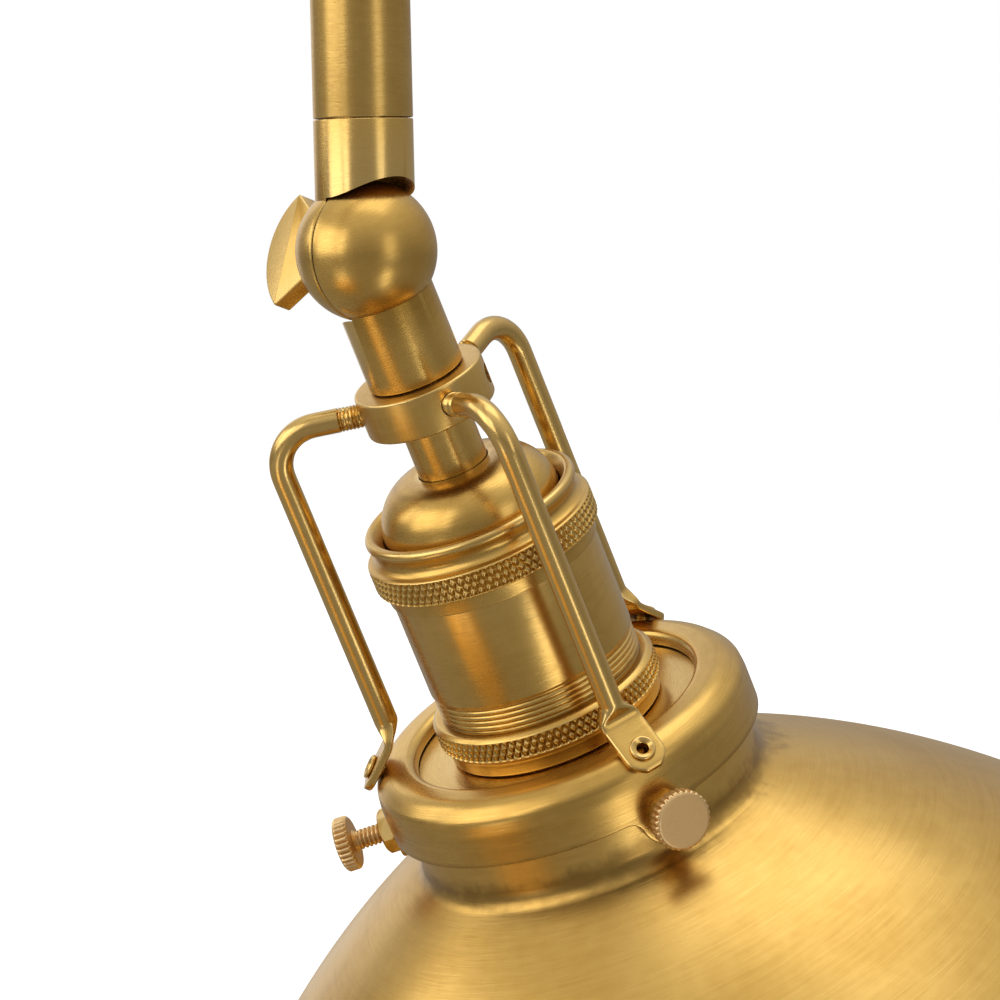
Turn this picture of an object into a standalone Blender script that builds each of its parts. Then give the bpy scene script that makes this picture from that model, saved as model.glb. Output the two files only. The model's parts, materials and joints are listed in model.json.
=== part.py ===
"""Swing arm desk lamp in brass, with three ball swivels and a dome shade on a gallery of rods.

Metres, +Z up. The origin is the centre of the base's underside, on the desk.
At rest the boom points along +X and the last tube hangs straight down. Every swivel hinges
about a line along Y. Pieces of the head are placed by their distance from the wrist ball's
centre down the head's axis, and by their radius from that axis.
"""
import math

import bmesh
import bpy
from mathutils import Matrix, Vector

# ---------------------------------------------------------------- fits and facets
GAP = 0.0003                      # between faces that touch on the real lamp
RUNNING = 0.0004                  # round a turning or sliding shaft
FINE, ROUND, COARSE = 28, 20, 12  # facets on large, middling and small turned pieces
MERGE = 0.00001

# ---------------------------------------------------------------- reach of the arms
SHOULDER_HEIGHT = 0.480
BOOM_REACH = 0.280                # shoulder ball to elbow ball
DROP_LENGTH = 0.140               # elbow ball to wrist ball
HEAD_TILT = math.radians(26.24)   # head's axis from straight down, outwards

TUBE_RADIUS = 0.00794
TUBE_WALL = 0.0012

# ---------------------------------------------------------------- ball swivels
BALL_RADIUS = 0.0113
STEM_LENGTH = 0.0207              # ball centre to the end face of the tube
SPIGOT_LENGTH = 0.008
NOTCH_CLEARANCE = 0.00035
SEAT_FLAT = 0.0105                # flat on the ball, under the washer
WASHER_RADIUS = 0.0046
WASHER_THICKNESS = 0.0008
KEY_SHANK_RADIUS = 0.0026
KEY_REACH = 0.0072                # shank past the seam
KEY_COLLAR_RADIUS = 0.0036
KEY_COLLAR_LENGTH = 0.0004
WING_HEIGHT = 0.0185
WING_WIDTH = 0.0110
WING_ROOT = 0.0094                # paddle's narrow end, at the collar
WING_SHOULDER = 0.0061            # paddle's root to its two tips
WING_THICKNESS = 0.0034
WING_LEAN = math.radians(18)
WIRE_RADIUS = 0.0024
WIRE_OFFSET = 0.0036              # wire bore's centre from the seam
CHAMBER_INNER = 0.0046            # ring-shaped room for the wire round the key
CHAMBER_OUTER = 0.0086
CHAMBER_DEPTH = 0.0060

# ---------------------------------------------------------------- base
BASE_RADIUS = 0.115
BASE_RIM_HEIGHT = 0.020
BASE_CROWN_RADIUS = 0.060
BASE_CROWN_HEIGHT = 0.027
BASE_CROWN_STEPS = ((0.010, 0.004), (0.024, 0.008))  # out and down from the top's edge
BASE_EDGE = 0.006
BASE_TOP_RADIUS = 0.017
BASE_TOP_HEIGHT = 0.038
BASE_WALL = 0.0014
FELT_THICKNESS = 0.0014
COVER_THICKNESS = 0.0015
WEIGHT_THICKNESS = 0.0125
WEIGHT_INSET = 0.008
WEIGHT_EDGE = 0.003
WEIGHT_SLOT_WIDTH = 0.018         # room for the cord from the inlet inwards
WEIGHT_SLOT_LENGTH = 0.030
SPINDLE_RADIUS = 0.0048
SPINDLE_JOURNAL = 0.030           # length of spindle inside the column
NUT_ACROSS = 0.016
NUT_HEIGHT = 0.005
COLLAR_RADIUS = 0.0128
COLLAR_FOOT_RADIUS = 0.0152
COLLAR_HEIGHT = 0.024
COLLAR_CHAMFER = 0.0015
COLLAR_FOOT_HEIGHT = 0.003
COLLAR_FLARE = 0.003              # height of the cone above the collar's foot
COLUMN_SEAT = 0.004               # collar's floor under the column
INLET_HEIGHT = 0.0105
INLET_RADIUS = 0.0052
INLET_BORE = 0.0032
INLET_STEP = 0.0010
INLET_DEPTH = 0.0040
INLET_FLANGE = 0.0022
INLET_LIP = 0.0006
SWITCH_RADIUS_FROM_AXIS = 0.074
SWITCH_AZIMUTH = math.radians(-60)
SWITCH_BARREL = 0.0058
SWITCH_BARREL_RISE = 0.0008       # above its nut
SWITCH_BARREL_DEPTH = 0.0120      # below the shell's skin
SWITCH_WELL = 0.0095              # depth of the button's bore
SWITCH_NUT = 0.0088
SWITCH_NUT_HEIGHT = 0.0030
BUTTON_RADIUS = 0.0036
BUTTON_TRAVEL = 0.0028
BUTTON_RISE = 0.0012              # above the barrel when pressed
BUTTON_DOME = 0.0006

# ---------------------------------------------------------------- head, hub and rods
WRIST_STEM_LENGTH = 0.0220
HUB_RADIUS = 0.0108
HUB_HEIGHT = 0.0070
NECK_RADIUS = 0.0058
NECK_INSERT = 0.0070              # neck screwed up into the wrist's stem
NECK_EXPOSED = 0.0095
NECK_BORE = 0.0030
NECK_GRIP = 0.0040                # neck inside the cap
ROD_RADIUS = 0.0020
ROD_BEND = 0.0070
ROD_RISE = 0.0012                 # bend's crown above the hub's middle
ROD_END_GAP = 0.0014              # rod's end to the neck
ROD_AZIMUTHS = tuple(math.radians(-107 + 120 * k) for k in range(3))
SET_SCREW_AZIMUTH = math.radians(-47)
SET_SCREW_RADIUS = 0.0015
SET_SCREW_SINK = 0.0012           # below the hub's face
LUG_WIDTH = 0.0070
LUG_THICKNESS = 0.0015
LUG_BEYOND = 0.0036               # lug past its rivet
LUG_CORNER = 0.0022
LUG_ROOT = 0.0019                 # half width where the rod turns into the lug
LUG_SLOPE = math.radians(45)
RIVET_HEAD = 0.0019
RIVET_TUBE = 0.00115
RIVET_BORE = 0.0006
RIVET_FLANGE = 0.0004

# ---------------------------------------------------------------- socket
SHELL_RADIUS = 0.0175
SHELL_WALL = 0.0008
CAP_RADIUS = SHELL_RADIUS - 0.0025
LIP_RADIUS = SHELL_RADIUS + 0.0007
KNURL_RADIUS = SHELL_RADIUS + 0.0017
CAP_DOME_HEIGHT = 0.0085
CAP_SKIRT = 0.0045
CAP_WALL = 0.0009
CAP_FLAT = 0.0017                 # flat round the neck
LIP_RISE = 0.0020                 # ring's lip above the foot of the cap's dome
CAP_RING_HEIGHT = 0.0117
CAP_RING_KNURL_START = 0.0052     # below the ring's top
CAP_RING_KNURL_LENGTH = 0.0038
CAP_RING_LIP_EDGE = 0.0010
CAP_RING_HOLLOW = 0.0006
CAP_RING_HOLLOW_STATION = 0.0035
SHELL_EXPOSED = 0.0225
THREAD_STEP = 0.0004              # shell's threaded end is this much smaller
THREAD_LENGTH = 0.0045
SHADE_RING_RADIUS = SHELL_RADIUS + 0.0017
SHADE_RING_FLANGE = SHELL_RADIUS + 0.0007
SHADE_RING_HEIGHT = 0.0074
SHADE_RING_BAND = 0.0042
SHADE_RING_CHAMFER = 0.0007
LINER_FLOOR = 0.0025
SCREW_SHELL_RADIUS = 0.0139
LINER_BORE = SCREW_SHELL_RADIUS + 0.0005
SCREW_SHELL_WALL = 0.0004
SCREW_SHELL_LENGTH = 0.0240
CONTACT_RADIUS = 0.0030
CONTACT_HEIGHT = 0.0016

# ---------------------------------------------------------------- fitter and thumb screws
FITTER_DROP = 0.0052              # shade ring's top to fitter's crest
FITTER_RADIUS = 0.0323
FITTER_HOLE = 0.0246
FITTER_HEIGHT = 0.0108
FITTER_WALL = 0.0011
FITTER_SHOULDER = 0.0046
FITTER_DRAFT = 0.0003             # shoulder's widest point inside the skirt
FITTER_LIP_DEPTH = 0.0022
TONGUE_WIDTH = 0.0100
SCREW_DROP = 0.0011               # screws' axis below the skirt's edge
SCREW_RADIUS = 0.0017
SCREW_HEAD_RADIUS = 0.0048
SCREW_HEAD_LENGTH = 0.0026
SCREW_HEAD_EDGE = 0.0003
SCREW_BACKED_OUT = 0.0045         # the third screw stands this far out at rest
ROD_CIRCLE = FITTER_RADIUS - 0.0055  # rods' centreline from the head's axis
NUT_FLATS = 0.0058
NUT_THICKNESS = 0.0022

# ---------------------------------------------------------------- shade
SHADE_SEAT = 0.0025               # shade's top below the fitter's crest
SHADE_NECK_CLEARANCE = 0.0016
SHADE_NECK_LENGTH = 0.0144
SHADE_WALL = 0.0010
SHADE_HOLE = SHELL_RADIUS
SHADE_CORNER = 0.0020
SHADE_FILLET = 0.0040
SHADE_SLOPE = math.radians(28.5)  # dome's slope where it leaves the fillet
SHADE_END_SLOPE = math.radians(60.9)  # dome's slope where it turns into the skirt
SHADE_RADIUS = 0.1075
SHADE_TURN_IN = 0.0031            # radius gained in the turn into the skirt
SHADE_SKIRT = 0.0095
SHADE_BEAD = 0.0016

# ---------------------------------------------------------------- bulb
BULB_RADIUS = 0.0300
BULB_LENGTH = 0.0815              # glass only
BULB_NECK = 0.0132
BULB_WALL = 0.0010
BULB_CAP_RADIUS = 0.0129
BULB_CAP_LENGTH = 0.0255
BULB_CAP_CHAMFER = 0.0045

# ---------------------------------------------------------------- stations down the head's axis
HUB_TOP = WRIST_STEM_LENGTH + GAP
HUB_MIDDLE = HUB_TOP + HUB_HEIGHT / 2
HUB_BOTTOM = HUB_TOP + HUB_HEIGHT
CAP_TOP = HUB_BOTTOM + NECK_EXPOSED
CAP_FOOT = CAP_TOP + CAP_DOME_HEIGHT
RING_TOP = CAP_FOOT - LIP_RISE
RING_BOTTOM = RING_TOP + CAP_RING_HEIGHT
SHADE_RING_TOP = RING_BOTTOM + SHELL_EXPOSED
SHADE_RING_BOTTOM = SHADE_RING_TOP + SHADE_RING_HEIGHT
FITTER_TOP = SHADE_RING_TOP + FITTER_DROP
FITTER_BOTTOM = FITTER_TOP + FITTER_HEIGHT
SCREW_STATION = FITTER_BOTTOM + SCREW_DROP
SHADE_TOP = FITTER_TOP + SHADE_SEAT
SHELL_TOP = CAP_FOOT + CAP_SKIRT - SHELL_WALL
SHELL_BOTTOM = SHADE_RING_BOTTOM + 2 * GAP
LINER_RADIUS = SHELL_RADIUS - THREAD_STEP - SHELL_WALL - GAP
LINER_TOP = SHELL_TOP + GAP + 0.002
CONTACT_TOP = LINER_TOP + LINER_FLOOR + GAP
BULB_CAP_TOP = CONTACT_TOP + CONTACT_HEIGHT + GAP
GLASS_TOP = BULB_CAP_TOP + BULB_CAP_LENGTH + GAP

# colour, metallic, roughness
FINISHES = {
    "satin_brass": ((0.60, 0.40, 0.13), 1.0, 0.34),
    "bright_brass": ((0.78, 0.56, 0.28), 1.0, 0.30),
    "cast_iron": ((0.10, 0.10, 0.11), 0.8, 0.60),
    "zinc_steel": ((0.55, 0.55, 0.56), 1.0, 0.40),
    "felt": ((0.03, 0.03, 0.03), 0.0, 0.95),
    "ceramic": ((0.85, 0.83, 0.78), 0.0, 0.35),
    "glass": ((0.92, 0.92, 0.90), 0.0, 0.15),
    "bushing_plastic": ((0.03, 0.03, 0.03), 0.0, 0.50),
}


# ================================================================ helpers
def clear_scene():
    """Remove what the scene holds at the start."""
    for obj in list(bpy.data.objects):
        bpy.data.objects.remove(obj, do_unlink=True)


def new_collection(name):
    """A collection linked to the scene."""
    collection = bpy.data.collections.new(name)
    bpy.context.scene.collection.children.link(collection)
    return collection


def finish(name, node):
    """A material for one node, in one of the lamp's finishes."""
    colour, metallic, roughness = FINISHES[name]
    material = bpy.data.materials.new(f"{name}_{node}")
    material.use_nodes = True
    shader = material.node_tree.nodes["Principled BSDF"]
    shader.inputs["Base Color"].default_value = (*colour, 1.0)
    shader.inputs["Metallic"].default_value = metallic
    shader.inputs["Roughness"].default_value = roughness
    return material


def pivot(name, parent=None, location=(0, 0, 0), rotation=(0, 0, 0)):
    """An empty on a joint's axis, which the moving pieces hang from."""
    empty = bpy.data.objects.new(name, None)
    PARTS.objects.link(empty)
    empty.parent = parent
    empty.location = location
    empty.rotation_euler = rotation
    return empty


def place(name, mesh, material, parent=None, location=(0, 0, 0), rotation=(0, 0, 0)):
    """Put a mesh in the lamp as the named node."""
    obj = bpy.data.objects.new(name, mesh)
    PARTS.objects.link(obj)
    obj.parent = parent
    obj.location = location
    obj.rotation_euler = rotation
    if not mesh.materials:
        mesh.materials.append(None)
    obj.material_slots[0].link = "OBJECT"
    obj.material_slots[0].material = finish(material, name)
    return obj


def scratch(mesh, matrix=None):
    """A hidden object that cuts or joins another and is removed afterwards."""
    obj = bpy.data.objects.new("cutter", mesh)
    CUTTERS.objects.link(obj)
    obj.hide_render = True
    obj.display_type = "WIRE"
    if matrix is not None:
        obj.matrix_world = matrix
    return obj


def evaluated(obj):
    """The object's mesh with its modifiers applied, as a mesh of its own."""
    bpy.context.view_layer.update()
    graph = bpy.context.evaluated_depsgraph_get()
    return bpy.data.meshes.new_from_object(obj.evaluated_get(graph))


def combine(mesh, joined=(), cut=()):
    """Join some (mesh, matrix) pairs to a mesh, then cut others from it."""
    obj = scratch(mesh)
    tools = []
    for operation, pairs in (("UNION", joined), ("DIFFERENCE", cut)):
        for tool_mesh, matrix in pairs:
            tool = scratch(tool_mesh, matrix)
            tools.append(tool)
            modifier = obj.modifiers.new(operation.title(), "BOOLEAN")
            modifier.operation = operation
            modifier.solver = "EXACT"
            modifier.object = tool
    result = evaluated(obj)
    for used in [obj] + tools:
        bpy.data.objects.remove(used, do_unlink=True)
    result.shade_smooth()
    result.set_sharp_from_angle(angle=math.radians(35))
    return result


def turned(outline, steps=ROUND):
    """Turn (radius, height) points round Z. The outline runs down its outer side.

    It is a closed ring where it starts off the axis, and a solid where it starts on it.
    """
    mesh = bpy.data.meshes.new("profile")
    links = [(i, i + 1) for i in range(len(outline) - 1)]
    if outline[0][0] > 0:
        links.append((len(outline) - 1, 0))
    mesh.from_pydata([(radius, 0, height) for radius, height in outline], links, [])
    obj = scratch(mesh)
    screw = obj.modifiers.new("Turn", "SCREW")
    screw.axis = "Z"
    screw.angle = 2 * math.pi
    screw.steps = steps
    screw.render_steps = steps
    screw.use_merge_vertices = True
    screw.merge_threshold = MERGE
    result = evaluated(obj)
    bpy.data.objects.remove(obj, do_unlink=True)
    result.shade_smooth()
    result.set_sharp_from_angle(angle=math.radians(35))
    return result


def down(outline):
    """Points given as (radius, station down the head's axis), as (radius, height)."""
    return [(radius, -station) for radius, station in outline]


def ring(outer, inner, top, bottom, steps=ROUND):
    """A plain ring between two heights."""
    return turned([(outer, top), (outer, bottom), (inner, bottom), (inner, top)], steps)


def rod(radius, start, end, steps=COARSE):
    """A solid cylinder along Z between two heights."""
    return turned([(0, end), (radius, end), (radius, start), (0, start)], steps)


def hexagon(across, bore, bottom, top):
    """A hexagonal nut along Z."""
    mesh = bpy.data.meshes.new("hexagon")
    form = bmesh.new()
    bmesh.ops.create_cone(form, cap_ends=True, segments=6, radius1=across / math.sqrt(3),
                          radius2=across / math.sqrt(3), depth=top - bottom,
                          matrix=Matrix.Translation((0, 0, (top + bottom) / 2)))
    form.to_mesh(mesh)
    form.free()
    return combine(mesh, cut=[(rod(bore, bottom - GAP, top + GAP), Matrix())])


def plate(outline, thickness):
    """A flat plate of an outline in XY, centred on Z."""
    curve = bpy.data.curves.new("outline", "CURVE")
    curve.dimensions = "2D"
    curve.fill_mode = "BOTH"
    curve.extrude = thickness / 2
    spline = curve.splines.new("POLY")
    spline.points.add(len(outline) - 1)
    for point, (x, y) in zip(spline.points, outline):
        point.co = (x, y, 0, 1)
    spline.use_cyclic_u = True
    obj = bpy.data.objects.new("outline", curve)
    CUTTERS.objects.link(obj)
    return closed_mesh(obj)


def wire(points, radius):
    """A round rod along a path of points."""
    curve = bpy.data.curves.new("wire", "CURVE")
    curve.dimensions = "3D"
    curve.bevel_depth = radius
    curve.bevel_resolution = 3
    curve.use_fill_caps = True
    spline = curve.splines.new("POLY")
    spline.points.add(len(points) - 1)
    for point, place_on_path in zip(spline.points, points):
        point.co = (*place_on_path, 1)
    obj = bpy.data.objects.new("wire", curve)
    CUTTERS.objects.link(obj)
    return closed_mesh(obj)


def closed_mesh(curve_object):
    """The curve object's mesh with its caps welded; the curve is removed."""
    mesh = evaluated(curve_object)
    form = bmesh.new()
    form.from_mesh(mesh)
    bmesh.ops.remove_doubles(form, verts=form.verts, dist=MERGE)
    bmesh.ops.recalc_face_normals(form, faces=form.faces)
    form.to_mesh(mesh)
    form.free()
    bpy.data.objects.remove(curve_object, do_unlink=True)
    return mesh


def arc(centre, radius, start, end, count):
    """Points on an arc, in degrees from the first axis towards the second."""
    angles = [math.radians(start + (end - start) * i / count) for i in range(count + 1)]
    return [(centre[0] + radius * math.cos(a), centre[1] + radius * math.sin(a)) for a in angles]


def sheet(points, wall):
    """A closed outline: points down the outer side of a sheet, and back up its inner side."""
    inner = []
    for i, point in enumerate(points):
        before = Vector(points[max(i - 1, 0)])
        after = Vector(points[min(i + 1, len(points) - 1)])
        along = (after - before).normalized()
        inward = Vector((along.y, -along.x))
        inner.append(tuple(Vector(point) + inward * wall))
    return list(points) + inner[::-1]


def about(axis, angle):
    """A turn about one of the axes."""
    return Matrix.Rotation(angle, 4, axis)


def shift(x=0.0, y=0.0, z=0.0):
    """A move."""
    return Matrix.Translation((x, y, z))


# ================================================================ swivels
def swivel_half(side, stem):
    """Half a ball on the side's Y, with its stem up Z. The stem is a mesh on the Z axis."""
    ball = bpy.data.meshes.new("ball")
    form = bmesh.new()
    bmesh.ops.create_uvsphere(form, u_segments=ROUND, v_segments=COARSE, radius=BALL_RADIUS,
                              matrix=about("X", math.pi / 2))
    form.to_mesh(ball)
    form.free()
    to_side = about("X", -side * math.pi / 2)
    seam = GAP / 2
    past = 2 * BALL_RADIUS
    notch = rod(BALL_RADIUS + NOTCH_CLEARANCE, -past, seam, FINE)
    chamber = ring(CHAMBER_OUTER, CHAMBER_INNER, CHAMBER_DEPTH, 0.0)
    wire_bore = rod(WIRE_RADIUS, CHAMBER_OUTER - WIRE_RADIUS, past + STEM_LENGTH)
    if side > 0:
        bore = rod(KEY_SHANK_RADIUS + RUNNING, -past, past)
        flat = rod(BALL_RADIUS, SEAT_FLAT, past)
        cut = [(bore, to_side), (flat, to_side)]
    else:
        cut = [(rod(KEY_SHANK_RADIUS + RUNNING, -past, KEY_REACH + RUNNING), to_side)]
    cut += [(chamber, to_side), (wire_bore, shift(y=side * WIRE_OFFSET))]
    return combine(ball, joined=[(stem, Matrix())], cut=[(notch, to_side)] + cut)


def plain_stem():
    """A stem with a spigot that goes into a tube."""
    spigot = TUBE_RADIUS - TUBE_WALL - RUNNING
    root = BALL_RADIUS / 2
    return turned([(0, STEM_LENGTH + SPIGOT_LENGTH), (spigot, STEM_LENGTH + SPIGOT_LENGTH),
                   (spigot, STEM_LENGTH), (TUBE_RADIUS, STEM_LENGTH), (TUBE_RADIUS, root),
                   (0, root)])


def socket_stem():
    """The wrist's stem, bored for the head's neck."""
    bore = NECK_RADIUS + RUNNING
    floor = WRIST_STEM_LENGTH - NECK_INSERT - GAP
    root = BALL_RADIUS / 2
    return turned([(0, floor), (bore, floor), (bore, WRIST_STEM_LENGTH),
                   (TUBE_RADIUS, WRIST_STEM_LENGTH), (TUBE_RADIUS, root), (0, root)])


def wing_key():
    """A wing paddle on a collar and a shank, pointing up Z from the swivel's centre."""
    collar = SEAT_FLAT + GAP + WASHER_THICKNESS + GAP
    root = collar + KEY_COLLAR_LENGTH
    shank = turned([(0, root + WING_WIDTH / 2), (KEY_SHANK_RADIUS, root + WING_WIDTH / 2),
                    (KEY_SHANK_RADIUS, root), (KEY_COLLAR_RADIUS, root),
                    (KEY_COLLAR_RADIUS, collar), (KEY_SHANK_RADIUS, collar),
                    (KEY_SHANK_RADIUS, -KEY_REACH), (0, -KEY_REACH)], COARSE)
    rise = WING_WIDTH - WING_SHOULDER
    radius = (rise ** 2 + (WING_HEIGHT / 2) ** 2) / (2 * rise)
    start = math.degrees(math.asin(1 - rise / radius))
    outline = arc((0, WING_WIDTH / 2 - radius), radius, start, 180 - start, 12)
    outline += [(-WING_ROOT / 2, -WING_WIDTH / 2), (WING_ROOT / 2, -WING_WIDTH / 2)]
    paddle = shift(z=root + WING_WIDTH / 2 - GAP) @ about("X", math.pi / 2)
    return combine(shank, joined=[(plate(outline, WING_THICKNESS), paddle)])


def add_swivel(name, centre, bodies, turns, key_turn, moving_mesh):
    """A swivel's two halves, washer and key at a centre given in each body's own frame.

    centre holds the ball's place for the fixed and the moving body, and turns holds how
    far each stem is turned about Y from straight up.
    """
    place(f"{name}_fixed_half", FIXED_HALF, "satin_brass", bodies[0], centre[0], (0, turns[0], 0))
    place(f"{name}_moving_half", moving_mesh, "satin_brass", bodies[1], centre[1],
          (0, turns[1], 0))
    washer = ring(WASHER_RADIUS, KEY_SHANK_RADIUS + RUNNING, SEAT_FLAT + GAP + WASHER_THICKNESS,
                  SEAT_FLAT + GAP, COARSE)
    place(f"{name}_washer", washer, "bright_brass", bodies[0], centre[0], (-math.pi / 2, 0, 0))
    key_axis = pivot(f"{name}_key_axis", bodies[0], centre[0], (-math.pi / 2, 0, 0))
    place(f"{name}_wing_key", KEY, "satin_brass", key_axis, rotation=(0, 0, key_turn))


# ================================================================ base
def base_profile():
    """The base shell's outer side from its top edge down to the rim."""
    rim = arc((BASE_RADIUS - BASE_EDGE, BASE_RIM_HEIGHT - BASE_EDGE), BASE_EDGE, 80, 0, 3)
    crown = [(BASE_TOP_RADIUS, BASE_TOP_HEIGHT)]
    crown += [(BASE_TOP_RADIUS + out, BASE_TOP_HEIGHT - drop) for out, drop in BASE_CROWN_STEPS]
    crown.append((BASE_CROWN_RADIUS, BASE_CROWN_HEIGHT))
    return crown + rim + [(BASE_RADIUS, FELT_THICKNESS + GAP)]


def shell_height(radius):
    """Height of the base shell's outer side at a radius."""
    points = base_profile()
    for (r0, z0), (r1, z1) in zip(points, points[1:]):
        if r0 <= radius <= r1:
            return z0 + (z1 - z0) * (radius - r0) / (r1 - r0)
    return points[-1][1]


def switch_place():
    """The switch's centre on the base."""
    return (SWITCH_RADIUS_FROM_AXIS * math.cos(SWITCH_AZIMUTH),
            SWITCH_RADIUS_FROM_AXIS * math.sin(SWITCH_AZIMUTH))


def add_base():
    """The base's shell, weight, cover, felt, spindle, nut and collar."""
    inner = BASE_RADIUS - BASE_WALL - GAP
    hole = SPINDLE_RADIUS + GAP
    shell_outline = [(hole, BASE_TOP_HEIGHT)] + sheet(base_profile(), BASE_WALL)
    shell_outline.append((hole, BASE_TOP_HEIGHT - BASE_WALL))
    place("base_shell", base_shell(shell_outline), "satin_brass")
    place("base_felt", rod(inner, 0.0, FELT_THICKNESS, FINE), "felt")
    cover = FELT_THICKNESS + GAP
    place("base_cover", rod(inner, cover, cover + COVER_THICKNESS, FINE), "zinc_steel")
    low = cover + COVER_THICKNESS + GAP
    place("base_weight", base_weight(low), "cast_iron")
    place("base_nut", hexagon(NUT_ACROSS, hole, low, low + NUT_HEIGHT), "zinc_steel")
    wide = TUBE_RADIUS - TUBE_WALL - RUNNING
    seat = BASE_TOP_HEIGHT + GAP
    foot = seat + COLUMN_SEAT
    top_end = foot + SPINDLE_JOURNAL
    spindle = turned([(wide, top_end), (wide, foot + RUNNING), (SPINDLE_RADIUS, foot + RUNNING),
                      (SPINDLE_RADIUS, low), (WIRE_RADIUS, low), (WIRE_RADIUS, top_end)])
    place("base_spindle", spindle, "zinc_steel")
    collar_top = seat + COLLAR_HEIGHT
    bore = TUBE_RADIUS + RUNNING
    collar = turned([(bore, collar_top), (COLLAR_RADIUS - COLLAR_CHAMFER, collar_top),
                     (COLLAR_RADIUS, collar_top - COLLAR_CHAMFER),
                     (COLLAR_RADIUS, seat + COLLAR_FOOT_HEIGHT + COLLAR_FLARE),
                     (COLLAR_FOOT_RADIUS, seat + COLLAR_FOOT_HEIGHT), (COLLAR_FOOT_RADIUS, seat),
                     (hole, seat), (hole, foot - RUNNING), (bore, foot - RUNNING)])
    place("base_collar", collar, "satin_brass")


def base_shell(outline):
    """The shell with its holes for the cord inlet and the switch."""
    inlet = shift(z=INLET_HEIGHT) @ about("Y", -math.pi / 2)
    switch = shift(*switch_place(), BASE_RIM_HEIGHT / 2)
    cut = [(rod(INLET_RADIUS - INLET_STEP + GAP, BASE_RADIUS / 2, BASE_RADIUS * 2), inlet),
           (rod(SWITCH_BARREL + GAP, 0.0, BASE_TOP_HEIGHT), switch)]
    return combine(turned(outline, FINE), cut=cut)


def base_weight(low):
    """The cast weight, bored for the spindle and its nut and cut away at inlet and switch."""
    radius = BASE_RADIUS - WEIGHT_INSET
    high = low + WEIGHT_THICKNESS
    recess = NUT_ACROSS / math.sqrt(3) + 2 * GAP
    step = low + NUT_HEIGHT + GAP
    body = turned([(SPINDLE_RADIUS + GAP, high), (radius - WEIGHT_EDGE, high),
                   (radius, high - WEIGHT_EDGE), (radius, low), (recess, low), (recess, step),
                   (SPINDLE_RADIUS + GAP, step)], FINE)
    half = WEIGHT_SLOT_WIDTH / 2
    slot = plate([(-BASE_RADIUS, -half), (0, -half), (0, half), (-BASE_RADIUS, half)],
                 4 * WEIGHT_THICKNESS)
    well = rod(SWITCH_NUT + WEIGHT_EDGE, low - GAP, high + GAP, ROUND)
    return combine(body, cut=[(well, shift(*switch_place())),
                              (slot, shift(x=WEIGHT_SLOT_LENGTH - BASE_RADIUS, z=high))])


def add_inlet():
    """The cord's inlet bushing at the back of the base."""
    outside = BASE_RADIUS + GAP
    inside = BASE_RADIUS - BASE_WALL - INLET_DEPTH
    barrel = INLET_RADIUS - INLET_STEP
    end = outside + INLET_FLANGE
    bushing = turned([(INLET_RADIUS - INLET_LIP, end), (INLET_RADIUS, end - INLET_LIP),
                      (INLET_RADIUS, outside), (barrel, outside), (barrel, inside),
                      (INLET_BORE, inside), (INLET_BORE, end)], COARSE)
    place("cord_inlet", bushing, "bushing_plastic", None, (0, 0, INLET_HEIGHT), (0, -math.pi / 2, 0))


def add_switch():
    """A push switch through the top of the base: barrel, knurled nut and button."""
    x, y = switch_place()
    high = shell_height(SWITCH_RADIUS_FROM_AXIS - SWITCH_NUT)
    nut_foot = high + GAP
    nut_top = nut_foot + SWITCH_NUT_HEIGHT
    barrel_top = nut_top + SWITCH_BARREL_RISE
    low = high - SWITCH_BARREL_DEPTH
    floor = barrel_top - SWITCH_WELL
    bore = BUTTON_RADIUS + RUNNING
    barrel = combine(rod(SWITCH_BARREL, low, barrel_top, ROUND),
                     cut=[(rod(bore, floor, barrel_top + GAP), Matrix())])
    place("switch_barrel", barrel, "bright_brass", None, (x, y, 0))
    place("switch_nut", ring(SWITCH_NUT, SWITCH_BARREL + GAP, nut_top, nut_foot), "satin_brass",
          None, (x, y, 0))
    axis = pivot("switch_axis", None, (x, y, barrel_top))
    button_top = BUTTON_TRAVEL + BUTTON_RISE
    button_low = BUTTON_TRAVEL + 2 * GAP - SWITCH_WELL
    button = turned([(0, button_top), (BUTTON_RADIUS * 0.7, button_top - BUTTON_DOME / 3),
                     (BUTTON_RADIUS, button_top - BUTTON_DOME), (BUTTON_RADIUS, button_low),
                     (0, button_low)], COARSE)
    place("switch_button", button, "bright_brass", axis)


# ================================================================ arms
def add_tube(name, parent, start, end, turn):
    """A tube along an arm, from one distance to another, turned about Y."""
    tube = ring(TUBE_RADIUS, TUBE_RADIUS - TUBE_WALL, end, start)
    place(name, tube, "satin_brass", parent, rotation=(0, turn, 0))


def add_arms():
    """The column, the boom and the drop tube, with the swivels between them."""
    column = pivot("column_axis")
    shoulder = pivot("shoulder_axis", column, (0, 0, SHOULDER_HEIGHT))
    elbow = pivot("elbow_axis", shoulder, (BOOM_REACH, 0, 0))
    wrist = pivot("wrist_axis", elbow, (0, 0, -DROP_LENGTH), (0, -HEAD_TILT, 0))
    end = STEM_LENGTH + GAP
    foot = BASE_TOP_HEIGHT + GAP + COLUMN_SEAT + GAP
    quarter = math.pi / 2
    add_tube("column_tube", column, foot, SHOULDER_HEIGHT - end, 0)
    add_tube("boom_tube", shoulder, end, BOOM_REACH - end, quarter)
    add_tube("drop_tube", elbow, end, DROP_LENGTH - end, math.pi)
    origin = (0, 0, 0)
    add_swivel("shoulder", ((0, 0, SHOULDER_HEIGHT), origin), (column, shoulder),
               (math.pi, quarter), WING_LEAN, MOVING_HALF)
    add_swivel("elbow", ((BOOM_REACH, 0, 0), origin), (shoulder, elbow), (-quarter, math.pi),
               WING_LEAN, MOVING_HALF)
    add_swivel("wrist", ((0, 0, -DROP_LENGTH), origin), (elbow, wrist), (0, math.pi),
               quarter + WING_LEAN, WRIST_HALF)
    return wrist


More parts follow.
